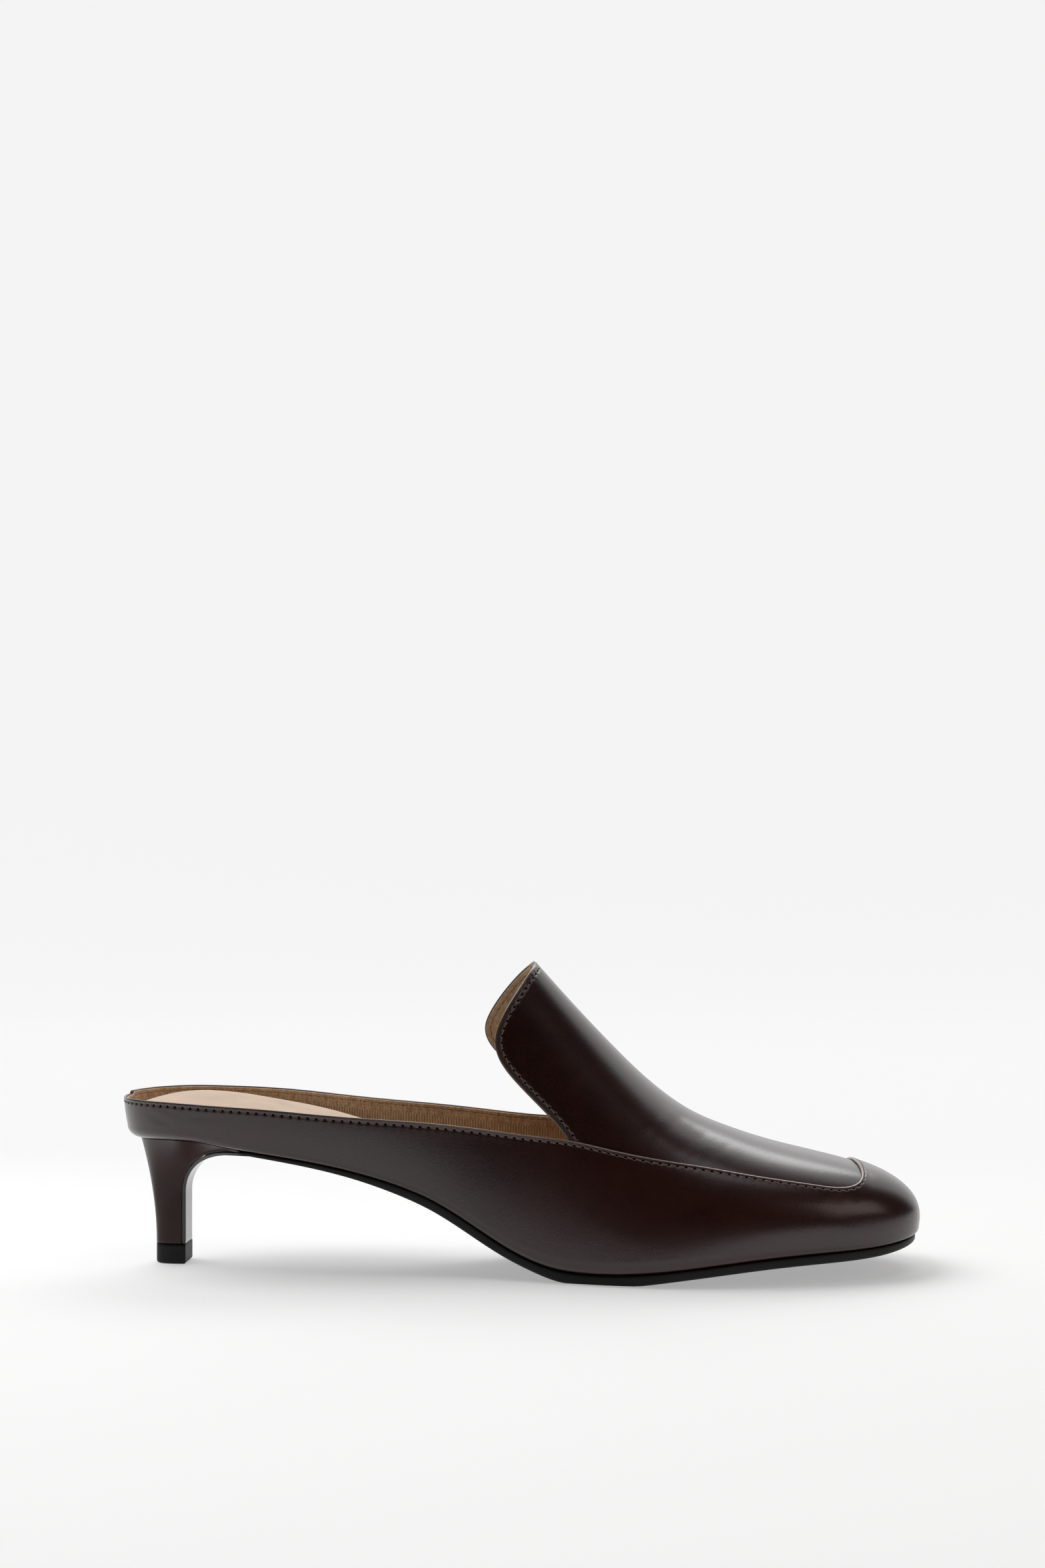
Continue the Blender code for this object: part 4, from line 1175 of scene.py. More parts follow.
def closed_ends(obj):
    """Fills the open ends of a tube."""
    with editing(obj.data) as shape:
        edges = [edge for edge in shape.edges if edge.is_boundary]
        made = bmesh.ops.holes_fill(shape, edges=edges, sides=0)
        bmesh.ops.triangulate(shape, faces=made["faces"])
        bmesh.ops.recalc_face_normals(shape, faces=shape.faces)
    return obj


def sole_section(places, share, bevel):
    """Points of the outsole's edge at one share of its thickness."""
    x = OUTLINE_CURVE(places)[..., 0]
    proud = SOLE_PROUD * smooth_step(x, SOLE_PROUD_FROM, SOLE_PROUD_TO)
    plan = outline_point(places, proud - bevel)
    height = seat_height(plan) - GAP - SEAT_CURVE(plan[..., 0])[..., 1] * share
    return joined(plan, np.maximum(height, SOLE_REST_LIFT * (1.0 - share)))


def outsole(finish):
    """The outsole with its rounded upper rim and bevelled foot, and the flap down the heel's breast."""
    outer, inner = (side[::-1] for side in paired_stations(260, SOLE_REAR_X))
    pairs = [(sole_section(outer, *edge), sole_section(inner, *edge)) for edge in SOLE_EDGE]
    seat, lift = heel_rings()
    seat[0, 2] = seat[-1, 2] = HEEL_FRONT_Z
    levels = np.concatenate([np.linspace(0.012, 0.4, 26), np.linspace(0.42, 1.0, 22)])
    here = heel_points(seat[0], lift[0], levels)
    there = heel_points(seat[-1], lift[-1], levels)
    along = np.gradient(here, axis=0)
    along[:, 1] = 0.0
    along = unit(along)
    out = np.stack([-along[:, 2], along[:, 1], along[:, 0]], axis=-1)
    flap = []
    for share, bevel in SOLE_EDGE:
        shift = out * (GAP + FLAP_THICKNESS * share)
        trim = np.array([0.0, 0.3 * bevel, 0.0])
        flap.append((here + shift + trim, there + shift - trim))
    pairs = [(np.concatenate([a[0], b[0]]), np.concatenate([a[1], b[1]])) for a, b in zip(pairs, flap)]
    across = np.linspace(0.0, 1.0, 11)[1:-1]
    bottom = [pairs[-1][0] + (pairs[-1][1] - pairs[-1][0]) * share for share in across]
    top = [pairs[0][1] + (pairs[0][0] - pairs[0][1]) * share for share in across]
    rows = [pair[0] for pair in pairs] + bottom + [pair[1] for pair in pairs[::-1]] + top
    grid = np.array(rows).transpose(1, 0, 2)
    return closed_ends(grid_object("sole", grid, finish, wrap_columns=True))


def top_piece(finish):
    """The lift: the heel's small outline, upright, with its lower edge rounded."""
    turn = np.pi * np.linspace(0.0, 1.0, 73)
    turns = np.radians(np.linspace(0.0, 90.0, 7))
    levels = [(LIFT_TOP_Z, 0.16), (LIFT_TOP_Z - 0.16, 0.0)]
    levels += [(z, 0.0) for z in np.linspace(5.2, 1.4, 4)]
    levels += [(LIFT_BEVEL * (1.0 - np.sin(t)), LIFT_BEVEL * (1.0 - np.cos(t))) for t in turns]
    rows = [joined(lift_outline(turn, LIFT_FRONT_X - inset, inset), np.full(turn.shape, z))
            for z, inset in levels]
    return closed_ends(grid_object("lift", np.array(rows), finish, wrap_columns=True))


# ---------------------------------------------------------------------------------------------------
# Stitches
# ---------------------------------------------------------------------------------------------------


# Length of a stitch as a share of the pitch, and how far it slants to both sides, in metres.
STITCH_SHARE = 0.6
STITCH_SLANT = 0.00012


def stitch_tree(thread):
    """Geometry nodes that lay one short arched thread at each of a number of places along a line."""
    tree = bpy.data.node_groups.new("stitches", "GeometryNodeTree")
    tree.is_modifier = True
    inputs = {}
    for label, way, kind in (("Line", "INPUT", "Geometry"), ("Stitch length", "INPUT", "Float"),
                             ("Thread radius", "INPUT", "Float"), ("Slant", "INPUT", "Float"),
                             ("Seed", "INPUT", "Int"), ("Stitches", "OUTPUT", "Geometry")):
        inputs[label] = tree.interface.new_socket(label, in_out=way, socket_type="NodeSocket" + kind)
    nodes = Nodes(tree)
    given = tree.nodes.new("NodeGroupInput")
    line, reach, thickness, lean, start = (Socket(nodes, given.outputs[i]) for i in range(5))
    half = reach * 0.5
    first = nodes.node("ShaderNodeCombineXYZ", values={0: -1.0 * half, 1: lean, 2: -1.0 * thickness})
    top = nodes.node("ShaderNodeCombineXYZ", values={0: 0.0, 1: 0.0, 2: thickness * 1.5})
    last = nodes.node("ShaderNodeCombineXYZ", values={0: half, 1: -1.0 * lean, 2: -1.0 * thickness})
    arc = nodes.node("GeometryNodeCurveQuadraticBezier",
                     values={"Resolution": 7, "Start": first, "Middle": top, "End": last})
    profile = nodes.node("GeometryNodeCurvePrimitiveCircle", values={"Resolution": 6, "Radius": thickness})
    stitch = nodes.node("GeometryNodeCurveToMesh",
                        values={"Curve": arc, "Profile Curve": profile, "Fill Caps": True})
    curve = nodes.node("GeometryNodeMeshToCurve", values={"Mesh": line})
    tangent = nodes.node("GeometryNodeInputTangent")
    outward = nodes.node("GeometryNodeInputNamedAttribute", {"data_type": "FLOAT_VECTOR"},
                         {"Name": "outward"})
    turn = nodes.node("FunctionNodeAxesToRotation", {"primary_axis": "X", "secondary_axis": "Z"},
                      {"Primary Axis": tangent, "Secondary Axis": outward})
    varied = nodes.node("FunctionNodeRandomValue", {"data_type": "FLOAT_VECTOR"},
                        {"Min": (0.95, 0.95, 0.95), "Max": (1.03, 1.05, 1.05), "Seed": start})
    laid = nodes.node("GeometryNodeInstanceOnPoints",
                      values={"Points": curve, "Instance": stitch, "Rotation": turn, "Scale": varied})
    real = nodes.node("GeometryNodeRealizeInstances", values={"Geometry": laid})
    done = nodes.node("GeometryNodeSetMaterial", values={"Geometry": real, "Material": thread})
    tree.links.new(done.socket, tree.nodes.new("NodeGroupOutput").inputs[0])
    return tree, inputs


def stitches(name, points, outward, tree, inputs, values):
    """A row of stitches, one at each of the points, as a plain mesh."""
    mesh = bpy.data.meshes.new(name + "_line")
    mesh.from_pydata(in_frame(points).tolist(), [(i, i + 1) for i in range(len(points) - 1)], [])
    directions = mesh.attributes.new("outward", "FLOAT_VECTOR", "POINT")
    directions.data.foreach_set("vector", outward.astype(np.float32).ravel())
    line = added(name + "_line", mesh)
    step = line.modifiers.new("stitches", "NODES")
    step.node_group = tree
    for key, value in values.items():
        step[inputs[key].identifier] = value
    seen = line.evaluated_get(bpy.context.evaluated_depsgraph_get())
    made = bpy.data.meshes.new_from_object(seen)
    made.name = name
    made.shade_smooth()
    bpy.data.objects.remove(line)
    return added(name, made)


def beside(function, sink):
    """Points that a function gives at a depth, with the direction outwards there."""
    points = function(sink)
    return points, unit(function(sink - 1.0) - points)


# In front of this the quarter's inner stitches are hidden by the plug.
LINING_STITCHES_END_X = 10.0
# How much lower than its groove's middle the quarter's thread lies.
THREAD_BELOW_ROW = 0.12


def quarter_stitch_rows(pitch):
    """Where the quarter's stitches lie, outside and inside: points and directions outwards."""
    ribs, edge, rate, _, _ = quarter_places(pitch, (0.5,))
    angle = edge - (QUARTER_STITCH_ROW + THREAD_BELOW_ROW) / rate
    outside = beside(lambda depth: ribs.at(angle, depth)[:, 0], 0.04)
    points, outward = beside(lambda depth: ribs.at(angle, depth)[:, 0], LINING_BASE)
    rear = ribs.at(edge)[:, 0, 0] < LINING_STITCHES_END_X
    return outside, (points[rear], -outward[rear])


def tongue_stitch_rows(pitch):
    """Where the tongue's stitches lie, outside and inside: points and directions outwards."""
    station, angle, phase = tongue_places(pitch, HOLE_PHASES)
    station, angle = edge_offsets(station, angle, (0.6, 1.2, TONGUE_STITCH_ROW))[TONGUE_STITCH_ROW]
    between = np.arange(len(phase) // len(HOLE_PHASES)) + 0.5
    station, angle = np.interp(between, phase, station), np.interp(between, phase, angle)
    outside = beside(lambda depth: vamp_point(station, angle, depth), PLUG_TOP + 0.1)
    points, outward = beside(lambda depth: vamp_point(station, angle, depth), TONGUE_LINING_BASE)
    return outside, (points, -outward)


# ---------------------------------------------------------------------------------------------------
# Finishes
# ---------------------------------------------------------------------------------------------------


def toned(colour, *shares):
    """A colour with its three parts multiplied, all by one share or each by its own."""
    shares = shares * 3 if len(shares) == 1 else shares
    return tuple(min(1.0, share * part) for share, part in zip(shares, colour))


def seam_masks(finish, row, per_stitch=1.0, half_width=0.12, half_height=0.3):
    """Masks of a seam's holes, half_width of a stitch long to both sides, and of the groove they stand
    in, with the millimetres from the edge."""
    passed, down = finish.seam()
    near = abs((passed * per_stitch + 0.5).fraction() - 0.5)
    hole = 1.0 - near.between(0.7 * half_width, 1.3 * half_width)
    hole = hole * (1.0 - abs(down - row).between(0.7 * half_height, 1.3 * half_height))
    groove = 1.0 - abs(down - row).between(0.12, 0.5)
    return hole, groove, down


def leather(name, colour, gloss, grain, stitch_row=None, fold_burnish_and_highlight_colour=None, painted_highlight_from=None,
            coat=0.38, shine=0.5):
    """Polished, dyed calf: fine grain, cloudy dye, folds burnished and with a painted highlight, and painted
    shade in stitch grooves and holes.
    """
    finish = Finish(name)
    cloud = finish.noise(0.055, 3.0, 0.55)
    mottle = finish.noise(0.007, 5.0, 0.62)
    base = finish.mix(cloud.between(0.3, 0.7), toned(colour, 0.62), colour)
    base = finish.mix(mottle.between(0.3, 0.8) * 0.3, base, toned(colour, 1.5, 1.28, 1.12))
    pores = finish.cells(0.9 * grain)
    pebble = finish.cells(1.2 * grain, "SMOOTH_F1")
    fine = finish.noise(0.35 * grain, 3.0, 0.6)
    soft = finish.noise(3.2 * grain, 3.0, 0.55)
    height = pores * 0.55 + pebble * 1.0 + fine * 0.5 + soft * 0.15
    roughness = gloss + (mottle - 0.5) * 0.05 + (fine - 0.5) * 0.06 + (cloud - 0.5) * 0.05
    normal = finish.relief(height, 0.000017)
    if stitch_row is not None:
        hole, groove, down = seam_masks(finish, stitch_row)
        # Along the folded edge and its bead: partly burnished leather, partly a painted highlight where the
        # fold catches the light.
        fold_burnish_and_highlight = (1.0 - down.between(0.4, 0.75)) * down.between(-1.0, -0.5)
        bead_burnish_and_highlight = 1.0 - down.between(1.5, 2.1)
        base = finish.mix(bead_burnish_and_highlight * 0.5, base, fold_burnish_and_highlight_colour)
        fold_burnish_and_painted_highlight = fold_burnish_and_highlight_colour
        # In front of this x the fold's colour is made paler still: a painted highlight.
        if painted_highlight_from is not None:
            along, _, _ = finish.axes(finish.place)
            fold_burnish_and_painted_highlight = finish.mix(along.between(painted_highlight_from, painted_highlight_from + 0.05), fold_burnish_and_highlight_colour, toned(fold_burnish_and_highlight_colour, 3.0))
        base = finish.mix(fold_burnish_and_highlight * 0.8, base, fold_burnish_and_painted_highlight)
        # Painted shade: the leather is darkened in the stitch groove.
        base = finish.mix(groove * 0.5, base, toned(colour, 0.12))
        roughness = roughness + groove * 0.15
        # Painted shade: a dark, dull shader in the needle holes.
        finish.painted_hole_shade(hole, toned(colour, 0.1))
    finish.surface(Base_Color=base, Roughness=roughness, Normal=normal, Coat_Weight=coat,
                   Coat_Roughness=0.22, Specular_IOR_Level=shine)
    return finish.material


def lining_leather(name, colour, rows, ribs_from=None):
    """Unpolished lining leather: painted shade in the holes beside its seam and, where it is ribbed, fine
    ribs below with painted shade and highlight.
    """
    finish = Finish(name)
    cloud = finish.noise(0.02, 4.0, 0.6)
    fibre = finish.noise(0.0011, 5.0, 0.75, scale=(1.0, 1.0, 0.5))
    dark = toned(colour, 0.5, 0.45, 0.4)
    pale = toned(colour, 1.3, 1.33, 1.36)
    base = finish.mix(cloud.between(0.3, 0.72), toned(colour, 0.8), colour)
    base = finish.mix(fibre.between(0.42, 0.66) * 0.75, base, dark)
    base = finish.mix((1.0 - fibre.between(0.34, 0.46)) * 0.4, base, pale)
    height = fibre * 0.5 + finish.cells(0.0008) * 0.5
    normal = finish.relief(height, 0.00004)
    passed, down = finish.seam()
    if ribs_from is not None:
        rib = (passed * (6.0 * np.pi) + cloud * 5.0 + fibre * 2.2).sine() * 0.5 + 0.5
        shown = down.between(ribs_from, ribs_from + 0.4)
        shown = shown * (1.0 - down.between(ribs_from + 2.5, ribs_from + 7.0))
        # Painted shade in the ribs' troughs and painted highlight on their crests.
        base = finish.mix(shown * (1.0 - rib).between(0.35, 0.9) * 0.75, base, dark)
        base = finish.mix(shown * rib.between(0.6, 0.95) * 0.5, base, pale)
        normal = finish.relief(rib * shown, 0.0002, normal)
    for row, per_stitch, half_width, half_height in rows:
        hole = seam_masks(finish, row, per_stitch, half_width, half_height)[0]
        # Painted shade: the lining is darkened in its stitch holes and pinholes.
        base = finish.mix(hole * (0.35 + fibre * 0.7), base, toned(colour, 0.16))
    finish.surface(Base_Color=base, Roughness=0.62 + (cloud - 0.5) * 0.12, Normal=normal,
                   Specular_IOR_Level=0.35)
    return finish.material


def nubuck(name, colour):
    """Brushed beige nubuck: short nap, cloudy where it has been stroked, and faint hair lines."""
    finish = Finish(name)
    cloud = finish.noise(0.016, 4.0, 0.6, 0.6)
    nap = finish.noise(0.0007, 5.0, 0.7, scale=(0.5, 1.2, 1.0))
    streak = finish.noise(0.003, 5.0, 0.65, 0.4, scale=(0.22, 1.5, 1.0))
    base = finish.mix(cloud.between(0.3, 0.7), toned(colour, 0.86), colour)
    base = finish.mix(nap.between(0.42, 0.72) * 0.55, base, toned(colour, 1.12, 1.13, 1.15))
    base = finish.mix(streak.between(0.55, 0.78) * 0.35, base, toned(colour, 0.68, 0.62, 0.56))
    normal = finish.relief(nap * 0.6 + streak * 0.7, 0.00009)
    finish.surface(Base_Color=base, Roughness=0.86 + (nap - 0.5) * 0.1, Normal=normal,
                   Sheen_Weight=0.25, Sheen_Roughness=0.5, Specular_IOR_Level=0.2)
    return finish.material


# Where, along the shoe in metres, the polish of the sole's flap fades out and the thread's painted shade
# ends.
FLAP_POLISH_X = (-0.086, -0.084)
THREAD_PAINTED_SHADE_X = (-0.08, -0.02)


def sole_black(name, colour, gloss):
    """Inked sole edge and a finely grained bottom, with the flap on the heel's breast polished."""
    finish = Finish(name)
    along, _, _ = finish.axes(finish.place)
    cloud = finish.noise(0.02, 3.0)
    fine = finish.noise(0.0011, 4.0, 0.65, scale=(0.3, 0.3, 1.6))
    pitted = finish.cells(0.0012)
    base = finish.mix(cloud.between(0.35, 0.7), colour, toned(colour, 1.7))
    base = finish.mix(fine.between(0.6, 0.85) * 0.4, base, toned(colour, 2.6))
    normal = finish.relief(fine * 0.8 + pitted * 0.3, 0.00003)
    finish.surface(Base_Color=base, Roughness=gloss + (fine - 0.5) * 0.16 + (cloud - 0.5) * 0.1,
                   Normal=normal, Specular_IOR_Level=0.2, Coat_Weight=1.0 - along.between(*FLAP_POLISH_X),
                   Coat_Roughness=0.16)
    return finish.material


def lift_rubber(name, colour):
    """Dense black top-piece rubber with faint moulding lines."""
    finish = Finish(name)
    fine = finish.noise(0.0006, 4.0, 0.6)
    lines = finish.noise(0.0009, 2.0, scale=(0.1, 0.1, 2.0))
    base = finish.mix(fine.between(0.4, 0.8), colour, toned(colour, 1.8))
    normal = finish.relief(fine * 0.6 + lines * 0.6, 0.00004)
    finish.surface(Base_Color=base, Roughness=0.5 + (fine - 0.5) * 0.2, Normal=normal,
                   Specular_IOR_Level=0.2)
    return finish.material


def thread_finish(name, colour, rear_painted_shade):
    """Waxed twisted thread, darker towards the heel as painted shade; the last argument is how much of its
    colour is left there.
    """
    finish = Finish(name)
    ply = finish.noise(0.0004, 3.0, 0.6)
    along, _, _ = finish.axes(finish.place)
    base = finish.mix(ply.between(0.35, 0.7), toned(colour, 0.55), colour)
    # Painted shade: the thread is darkened towards the heel.
    base = finish.mix(along.between(*THREAD_PAINTED_SHADE_X), toned(colour, rear_painted_shade), base)
    finish.surface(Base_Color=base, Roughness=0.48 + (ply - 0.5) * 0.2, Normal=finish.relief(ply, 0.00006))
    return finish.material


# How strongly the paper behind the shoe glows, the floor's share of that glow, and the share of its
# light that the paper behind throws back.
PAPER_GLOW = 0.88
FLOOR_GLOW = 0.42
WALL_SHADE = 0.05


def stage_finish(name, colour, glow):
    """Matt white paper, softly lit from behind, that fades out in front of the shoe."""
    finish = Finish(name)
    fibre = finish.noise(0.0015, 4.0, 0.6)
    _, back, up = finish.axes(finish.place)
    wall = up.between(0.0, 0.25).most(back.between(0.03, 0.3))
    base = finish.mix(fibre, toned(colour, 0.99), colour)
    base = finish.mix(wall, base, toned(colour, WALL_SHADE))
    floor = back.between(-0.6, -0.28) * (1.0 - up.between(0.03, 0.12))
    shown = floor.most(back.between(0.75, 1.15))
    lit = finish.mix(wall, (FLOOR_GLOW, FLOOR_GLOW, FLOOR_GLOW), (1.0, 1.0, 1.0))
    finish.surface(Base_Color=base, Roughness=0.9 + (fibre - 0.5) * 0.04, Specular_IOR_Level=0.1,
                   Emission_Color=lit, Emission_Strength=glow, Alpha=shown)
    return finish.material


# ---------------------------------------------------------------------------------------------------
# Settings
# ---------------------------------------------------------------------------------------------------


# What every colour and every length among the settings has.
COLOUR = {"subtype": "COLOR", "size": 3, "min": 0.0, "max": 1.0}
LENGTH = {"subtype": "DISTANCE", "unit": "LENGTH"}


class LoaferLeatherSettings(bpy.types.PropertyGroup):
    """Colours and surface of the upper's leathers."""

    colour: FloatVectorProperty(name="Leather colour", description="Dye of the quarter, plug and heel cover",
                                default=(0.025, 0.0062, 0.0044), **COLOUR)
    # The folds' colour: partly burnished leather, partly a painted highlight.
    fold_burnish_and_highlight_tone: FloatVectorProperty(name="Fold colour", description="Leather burnished along its folds",
                                     default=(0.075, 0.05, 0.042), **COLOUR)
    lining_colour: FloatVectorProperty(name="Lining colour", description="Leather inside the quarter",
                                       default=(0.66, 0.46, 0.29), **COLOUR)
    gloss: FloatProperty(name="Leather roughness", description="Lower values shine more",
                         subtype="FACTOR", min=0.05, max=1.0, default=0.28)
    grain: FloatProperty(name="Grain size", description="Width of one grain of the leather",
                         min=0.0001, max=0.005, default=0.0006, **LENGTH)


class LoaferStitchSettings(bpy.types.PropertyGroup):
    """Stitches along the quarter's and the tongue's edges."""

    pitch: FloatProperty(name="Stitch pitch", description="Length from one needle hole to the next",
                         min=0.001, max=0.01, default=0.00265, **LENGTH)
    radius: FloatProperty(name="Thread radius", description="Half the thickness of the thread",
                          min=0.00005, max=0.001, default=0.00015, **LENGTH)
    colour: FloatVectorProperty(name="Thread colour", description="Colour of the thread",
                                default=(0.30, 0.17, 0.14), **COLOUR)
    inner_colour: FloatVectorProperty(name="Inner thread colour", description="Thread seen on the linings",
                                      default=(0.24, 0.13, 0.08), **COLOUR)


class LoaferBottomSettings(bpy.types.PropertyGroup):
    """Colours of the sock, sole and top piece."""

    sock_colour: FloatVectorProperty(name="Sock colour", description="Nubuck over the padded insole",
                                     default=(0.70, 0.53, 0.40), **COLOUR)
    sole_colour: FloatVectorProperty(name="Sole colour", description="Inked sole edge and bottom",
                                     default=(0.0075, 0.0068, 0.0066), **COLOUR)
    lift_colour: FloatVectorProperty(name="Top piece colour", description="Rubber under the heel",
                                     default=(0.010, 0.009, 0.009), **COLOUR)
    fill: FloatProperty(name="Padding", description="How tightly the insole is padded, from slack to tight",
                        subtype="FACTOR", min=0.0, max=1.0, default=0.75)


class LoaferStageSettings(bpy.types.PropertyGroup):
    """Floor, lights and camera."""

    paper_colour: FloatVectorProperty(name="Paper colour", description="Floor and backdrop",
                                      default=(0.60, 0.60, 0.60), **COLOUR)
    distance: FloatProperty(name="Camera distance", description="From the shoe's middle to the camera",
                            min=0.3, max=5.0, default=0.72, **LENGTH)
    brightness: FloatProperty(name="Brightness", description="Multiplies every light",
                              min=0.1, max=5.0, default=1.0)


# ---------------------------------------------------------------------------------------------------
# Operators
# ---------------------------------------------------------------------------------------------------


def ride(obj):
    """Fastens a finished piece to the shoe."""
    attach(obj, "root")
    return obj


class LOAFER_OT_stage(bpy.types.Operator):
    """Makes the floor and backdrop, the lights and the camera"""

    bl_idname = "loafer.stage"
    bl_label = "Stage"

    def execute(self, context):
        settings = context.scene.loafer_stage
        backdrop(stage_finish("white_paper", settings.paper_colour[:], PAPER_GLOW))
        lights(settings.brightness)
        camera(settings.distance)
        return {"FINISHED"}


def backdrop(paper, radius=1.7, corner=0.55, height=2.6):
    """A floor that turns up into a wall behind the shoe, in one sheet swept round the shoe's far side."""
    profile = [(r, 0.0) for r in (0.02, 0.15, 0.4, 0.8, radius - corner)]
    for turn in np.radians(np.linspace(0.0, 90.0, 13))[1:]:
        profile.append((radius - corner + corner * np.sin(turn), corner * (1.0 - np.cos(turn))))
    profile.append((radius, height))
    points = []
    for turn in np.radians(np.linspace(0.0, 360.0, 97)):
        far = smooth_step(np.sin(turn), -0.5, -0.1)
        points += [(r * np.cos(turn), r * np.sin(turn), z * far) for r, z in profile]
    columns = len(profile)
    starts = [a for a in range(len(points) - columns) if a % columns < columns - 1]
    mesh = bpy.data.meshes.new("backdrop")
    mesh.from_pydata(points, [], [(a, a + columns, a + columns + 1, a + 1) for a in starts])
    mesh.materials.append(paper)
    with editing(mesh) as shape:
        bmesh.ops.remove_doubles(shape, verts=shape.verts, dist=1e-5)
        inner = [edge for edge in shape.edges if edge.is_boundary and edge.verts[0].co.length < 0.1]
        bmesh.ops.holes_fill(shape, edges=inner, sides=0)
    mesh.shade_smooth()
    return added("backdrop", mesh)


# Name, place, aim, size, power in watts and colour of each light.
LIGHTS = (
    ("softbox", (-0.85, 0.25, 1.45), (0.0, 0.0, 0.03), (1.2, 1.2), 20.0, (1.0, 1.0, 1.0)),
    ("back_panel", (0.0, 1.5, 1.55), (0.0, 0.0, 1.55), (2.6, 1.1), 26.0, (1.0, 1.0, 1.0)),
    ("ceiling", (0.0, 0.95, 2.0), (0.0, 0.4, 0.0), (2.6, 1.1), 2.6, (1.0, 1.0, 1.0)),
    ("front_top", (0.35, -0.35, 1.6), (0.0, 0.0, 0.0), (0.9, 0.55), 1.8, (1.0, 1.0, 1.0)),
    ("toe_side", (1.15, -0.5, 0.7), (0.1, 0.0, 0.03), (0.7, 0.6), 1.6, (1.0, 0.8, 0.72)),
)
# How bright the room behind the stage is, as it lights the shoe and as the camera sees it.
ROOM_LIGHT = 0.014
ROOM_SEEN = 0.89


def lights(brightness):
    """Soft lights from the rear left, behind, above and the toe; the camera's side stays dark."""
    for name, place, aim, size, power, colour in LIGHTS:
        data = bpy.data.lights.new(name, "AREA")
        data.shape = "RECTANGLE"
        data.size, data.size_y = size
        data.energy = power * brightness
        data.color = colour
        obj = added(name, data)
        obj.location = place
        obj.rotation_euler = (Vector(aim) - Vector(place)).to_track_quat("-Z", "Y").to_euler()
    world = bpy.data.worlds.new("studio")
    bpy.context.scene.world = world
    world.use_nodes = True
    nodes = Nodes(world.node_tree)
    ground = world.node_tree.nodes["Background"]
    seen = nodes.node("ShaderNodeLightPath", output="Is Camera Ray")
    strength = nodes.node("ShaderNodeMix", {"data_type": "FLOAT"}, {0: seen, 2: ROOM_LIGHT, 3: ROOM_SEEN})
    nodes.plug(ground.inputs["Strength"], strength)
    nodes.plug(ground.inputs["Color"], (1.0, 1.0, 1.0))


# The camera's turn towards the toe in degrees, its height in metres, its lens and sensor in
# millimetres, and how far its view is shifted up.
CAMERA_TURN = 3.0
CAMERA_HEIGHT = 0.1262
CAMERA_LENS = 52.35
CAMERA_SENSOR = 36.0
CAMERA_SHIFT = 0.0514


def camera(distance):
    """A level camera at the shoe's outer side, turned a little towards its toe."""
    turn = np.radians(CAMERA_TURN)
    data = bpy.data.cameras.new("camera")
    data.sensor_fit = "VERTICAL"
    data.sensor_height = CAMERA_SENSOR
    data.lens = CAMERA_LENS
    data.shift_y = CAMERA_SHIFT
    data.clip_start = 0.01
    obj = added("camera", data)
    obj.location = (distance * np.sin(turn) + SHIFT[0] * MM, SHIFT[1] * MM - distance * np.cos(turn),
                    CAMERA_HEIGHT)
    obj.rotation_euler = (np.radians(90.0), 0.0, turn)
    bpy.context.scene.camera = obj
    bpy.context.scene.view_settings.view_transform = "Standard"


class LOAFER_OT_quarter(bpy.types.Operator):
    """Makes the quarter and mudguard with its folded, stitched edge"""

    bl_idname = "loafer.quarter"
    bl_label = "Quarter"

    def execute(self, context):
        upper = context.scene.loafer_leather
        finish = leather("brown_leather", upper.colour[:], upper.gloss, upper.grain,
                         QUARTER_STITCH_ROW, upper.fold_burnish_and_highlight_tone[:], -0.07)
        obj = ride(quarter(context.scene.loafer_stitch.pitch / MM, finish))
        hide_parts("upper")
        return {"FINISHED"}


class LOAFER_OT_plug(bpy.types.Operator):
    """Makes the plug and the tongue that rises from it"""

    bl_idname = "loafer.plug"
    bl_label = "Plug and tongue"

    def execute(self, context):
        upper = context.scene.loafer_leather
        finish = leather("brown_plug_leather", upper.colour[:], upper.gloss, upper.grain,
                         TONGUE_STITCH_ROW, upper.fold_burnish_and_highlight_tone[:])
        obj = ride(plug(context.scene.loafer_stitch.pitch / MM, finish))
        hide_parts("upper")
        return {"FINISHED"}


class LOAFER_OT_linings(bpy.types.Operator):
    """Lines the quarter and the plug"""

    bl_idname = "loafer.linings"
    bl_label = "Linings"

    def execute(self, context):
        colour = context.scene.loafer_leather.lining_colour[:]
        pitch = context.scene.loafer_stitch.pitch / MM
        side = lining_leather("quarter_lining_leather", colour,
                              ((QUARTER_STITCH_ROW, 1.0, 0.1, 0.2), (2.5, 2.0, 0.12, 0.11),
                               (3.5, 2.0, 0.15, 0.15)), 3.7)
        # The plug's lining is the same lining colour made a little darker: painted shade.
        top = lining_leather("plug_lining_leather", toned(colour, 0.95),
                             ((TONGUE_STITCH_ROW, 1.0, 0.1, 0.2),))
        for obj in (quarter_lining(pitch, side), plug_lining(pitch, top)):
            ride(obj)
            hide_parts("upper")
        return {"FINISHED"}


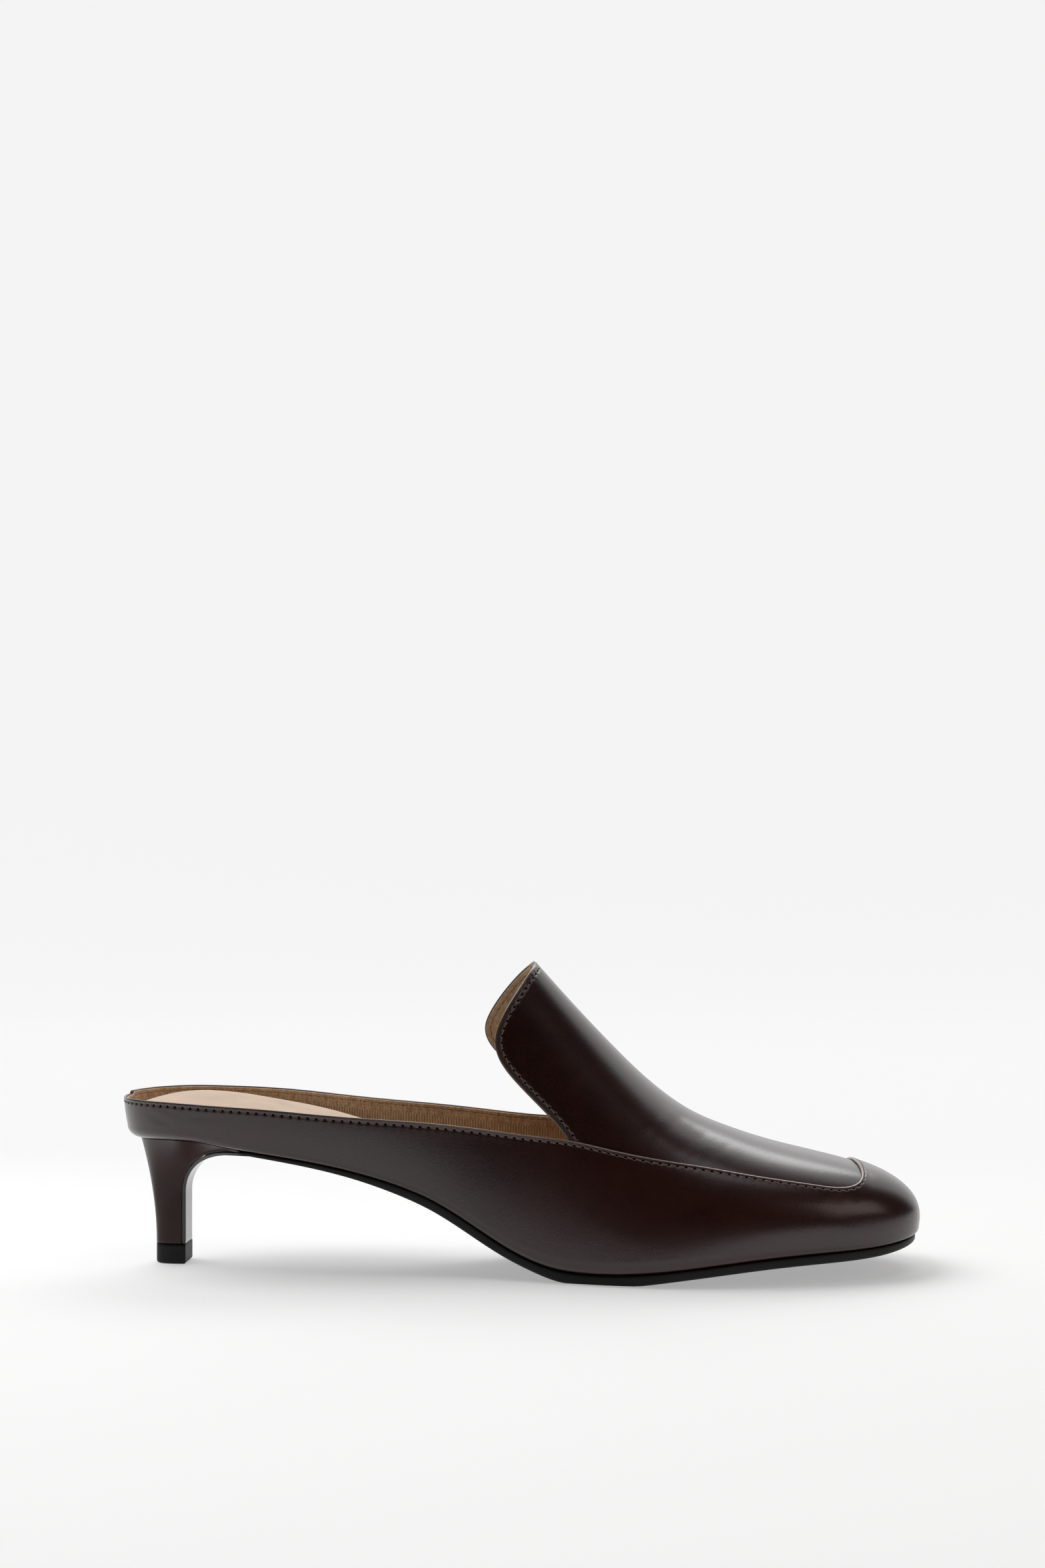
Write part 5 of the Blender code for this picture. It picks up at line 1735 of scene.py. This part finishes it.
class LOAFER_OT_stitches(bpy.types.Operator):
    """Sews the quarter's and the tongue's edges"""

    bl_idname = "loafer.stitches"
    bl_label = "Stitches"

    def execute(self, context):
        settings = context.scene.loafer_stitch
        pitch = settings.pitch / MM
        values = {"Stitch length": STITCH_SHARE * settings.pitch, "Thread radius": settings.radius,
                  "Slant": STITCH_SLANT}
        outer, inner = quarter_stitch_rows(pitch)
        tongue_outer, tongue_inner = tongue_stitch_rows(pitch)
        rows = (("quarter_stitches", outer, settings.colour, 0.35, 1),
                ("lining_stitches", inner, settings.inner_colour, 1.0, 2),
                ("tongue_stitches", tongue_outer, settings.colour, 1.0, 3),
                ("tongue_lining_stitches", tongue_inner, settings.inner_colour, 1.0, 4))
        for name, (points, outward), colour, rear_painted_shade, seed in rows:
            tree, inputs = stitch_tree(thread_finish(name + "_thread", colour[:], rear_painted_shade))
            obj = stitches(name, points, outward, tree, inputs, {**values, "Seed": seed})
            ride(obj)
        return {"FINISHED"}


class LOAFER_OT_insole(bpy.types.Operator):
    """Makes the padded insole with its nubuck sock"""

    bl_idname = "loafer.insole"
    bl_label = "Padded insole"

    def execute(self, context):
        settings = context.scene.loafer_bottom
        obj = ride(insole(nubuck("beige_nubuck", settings.sock_colour[:])))
        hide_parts("insole")
        return {"FINISHED"}


class LOAFER_OT_outsole(bpy.types.Operator):
    """Makes the outsole with the flap on the heel's breast"""

    bl_idname = "loafer.outsole"
    bl_label = "Outsole"

    def execute(self, context):
        colour = context.scene.loafer_bottom.sole_colour[:]
        obj = ride(outsole(sole_black("inked_sole", colour, 0.42)))
        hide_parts("outsole")
        return {"FINISHED"}


class LOAFER_OT_heel(bpy.types.Operator):
    """Makes the covered heel and its top piece"""

    bl_idname = "loafer.heel"
    bl_label = "Heel"

    def execute(self, context):
        upper = context.scene.loafer_leather
        cover = leather("heel_cover_leather", upper.colour[:], upper.gloss + 0.05, upper.grain,
                        coat=0.0, shine=0.3)
        obj = ride(heel(cover))
        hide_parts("heel")
        rubber = lift_rubber("top_piece_rubber", context.scene.loafer_bottom.lift_colour[:])
        obj = ride(top_piece(rubber))
        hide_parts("top_piece")
        return {"FINISHED"}


class VIEW3D_PT_loafer(bpy.types.Panel):
    """Settings and steps of the heeled loafer mule"""

    bl_label = "Heeled loafer mule"
    bl_idname = "VIEW3D_PT_loafer"
    bl_space_type = "VIEW_3D"
    bl_region_type = "UI"
    bl_category = "Loafer"

    def draw(self, context):
        for name, group in SETTINGS.items():
            box = self.layout.box()
            for field in group.__annotations__:
                box.prop(getattr(context.scene, name), field)
        for operator in OPERATORS:
            self.layout.operator(operator.bl_idname)


SETTINGS = {
    "loafer_leather": LoaferLeatherSettings,
    "loafer_stitch": LoaferStitchSettings,
    "loafer_bottom": LoaferBottomSettings,
    "loafer_stage": LoaferStageSettings,
}
OPERATORS = (LOAFER_OT_stage, LOAFER_OT_quarter, LOAFER_OT_plug, LOAFER_OT_linings, LOAFER_OT_stitches,
             LOAFER_OT_insole, LOAFER_OT_outsole, LOAFER_OT_heel)


def register():
    """Registers the settings, operators and panel."""
    for name, group in SETTINGS.items():
        bpy.utils.register_class(group)
        setattr(bpy.types.Scene, name, PointerProperty(type=group))
    for made in (*OPERATORS, VIEW3D_PT_loafer):
        bpy.utils.register_class(made)


def unregister():
    """Takes back what register did."""
    for made in (VIEW3D_PT_loafer, *OPERATORS[::-1]):
        bpy.utils.unregister_class(made)
    for name, group in SETTINGS.items():
        delattr(bpy.types.Scene, name)
        bpy.utils.unregister_class(group)


def main():
    """Builds every piece in turn."""
    register()
    for operator in OPERATORS:
        group, name = operator.bl_idname.split(".")
        getattr(getattr(bpy.ops, group), name)()


if __name__ == "__main__":
    main()
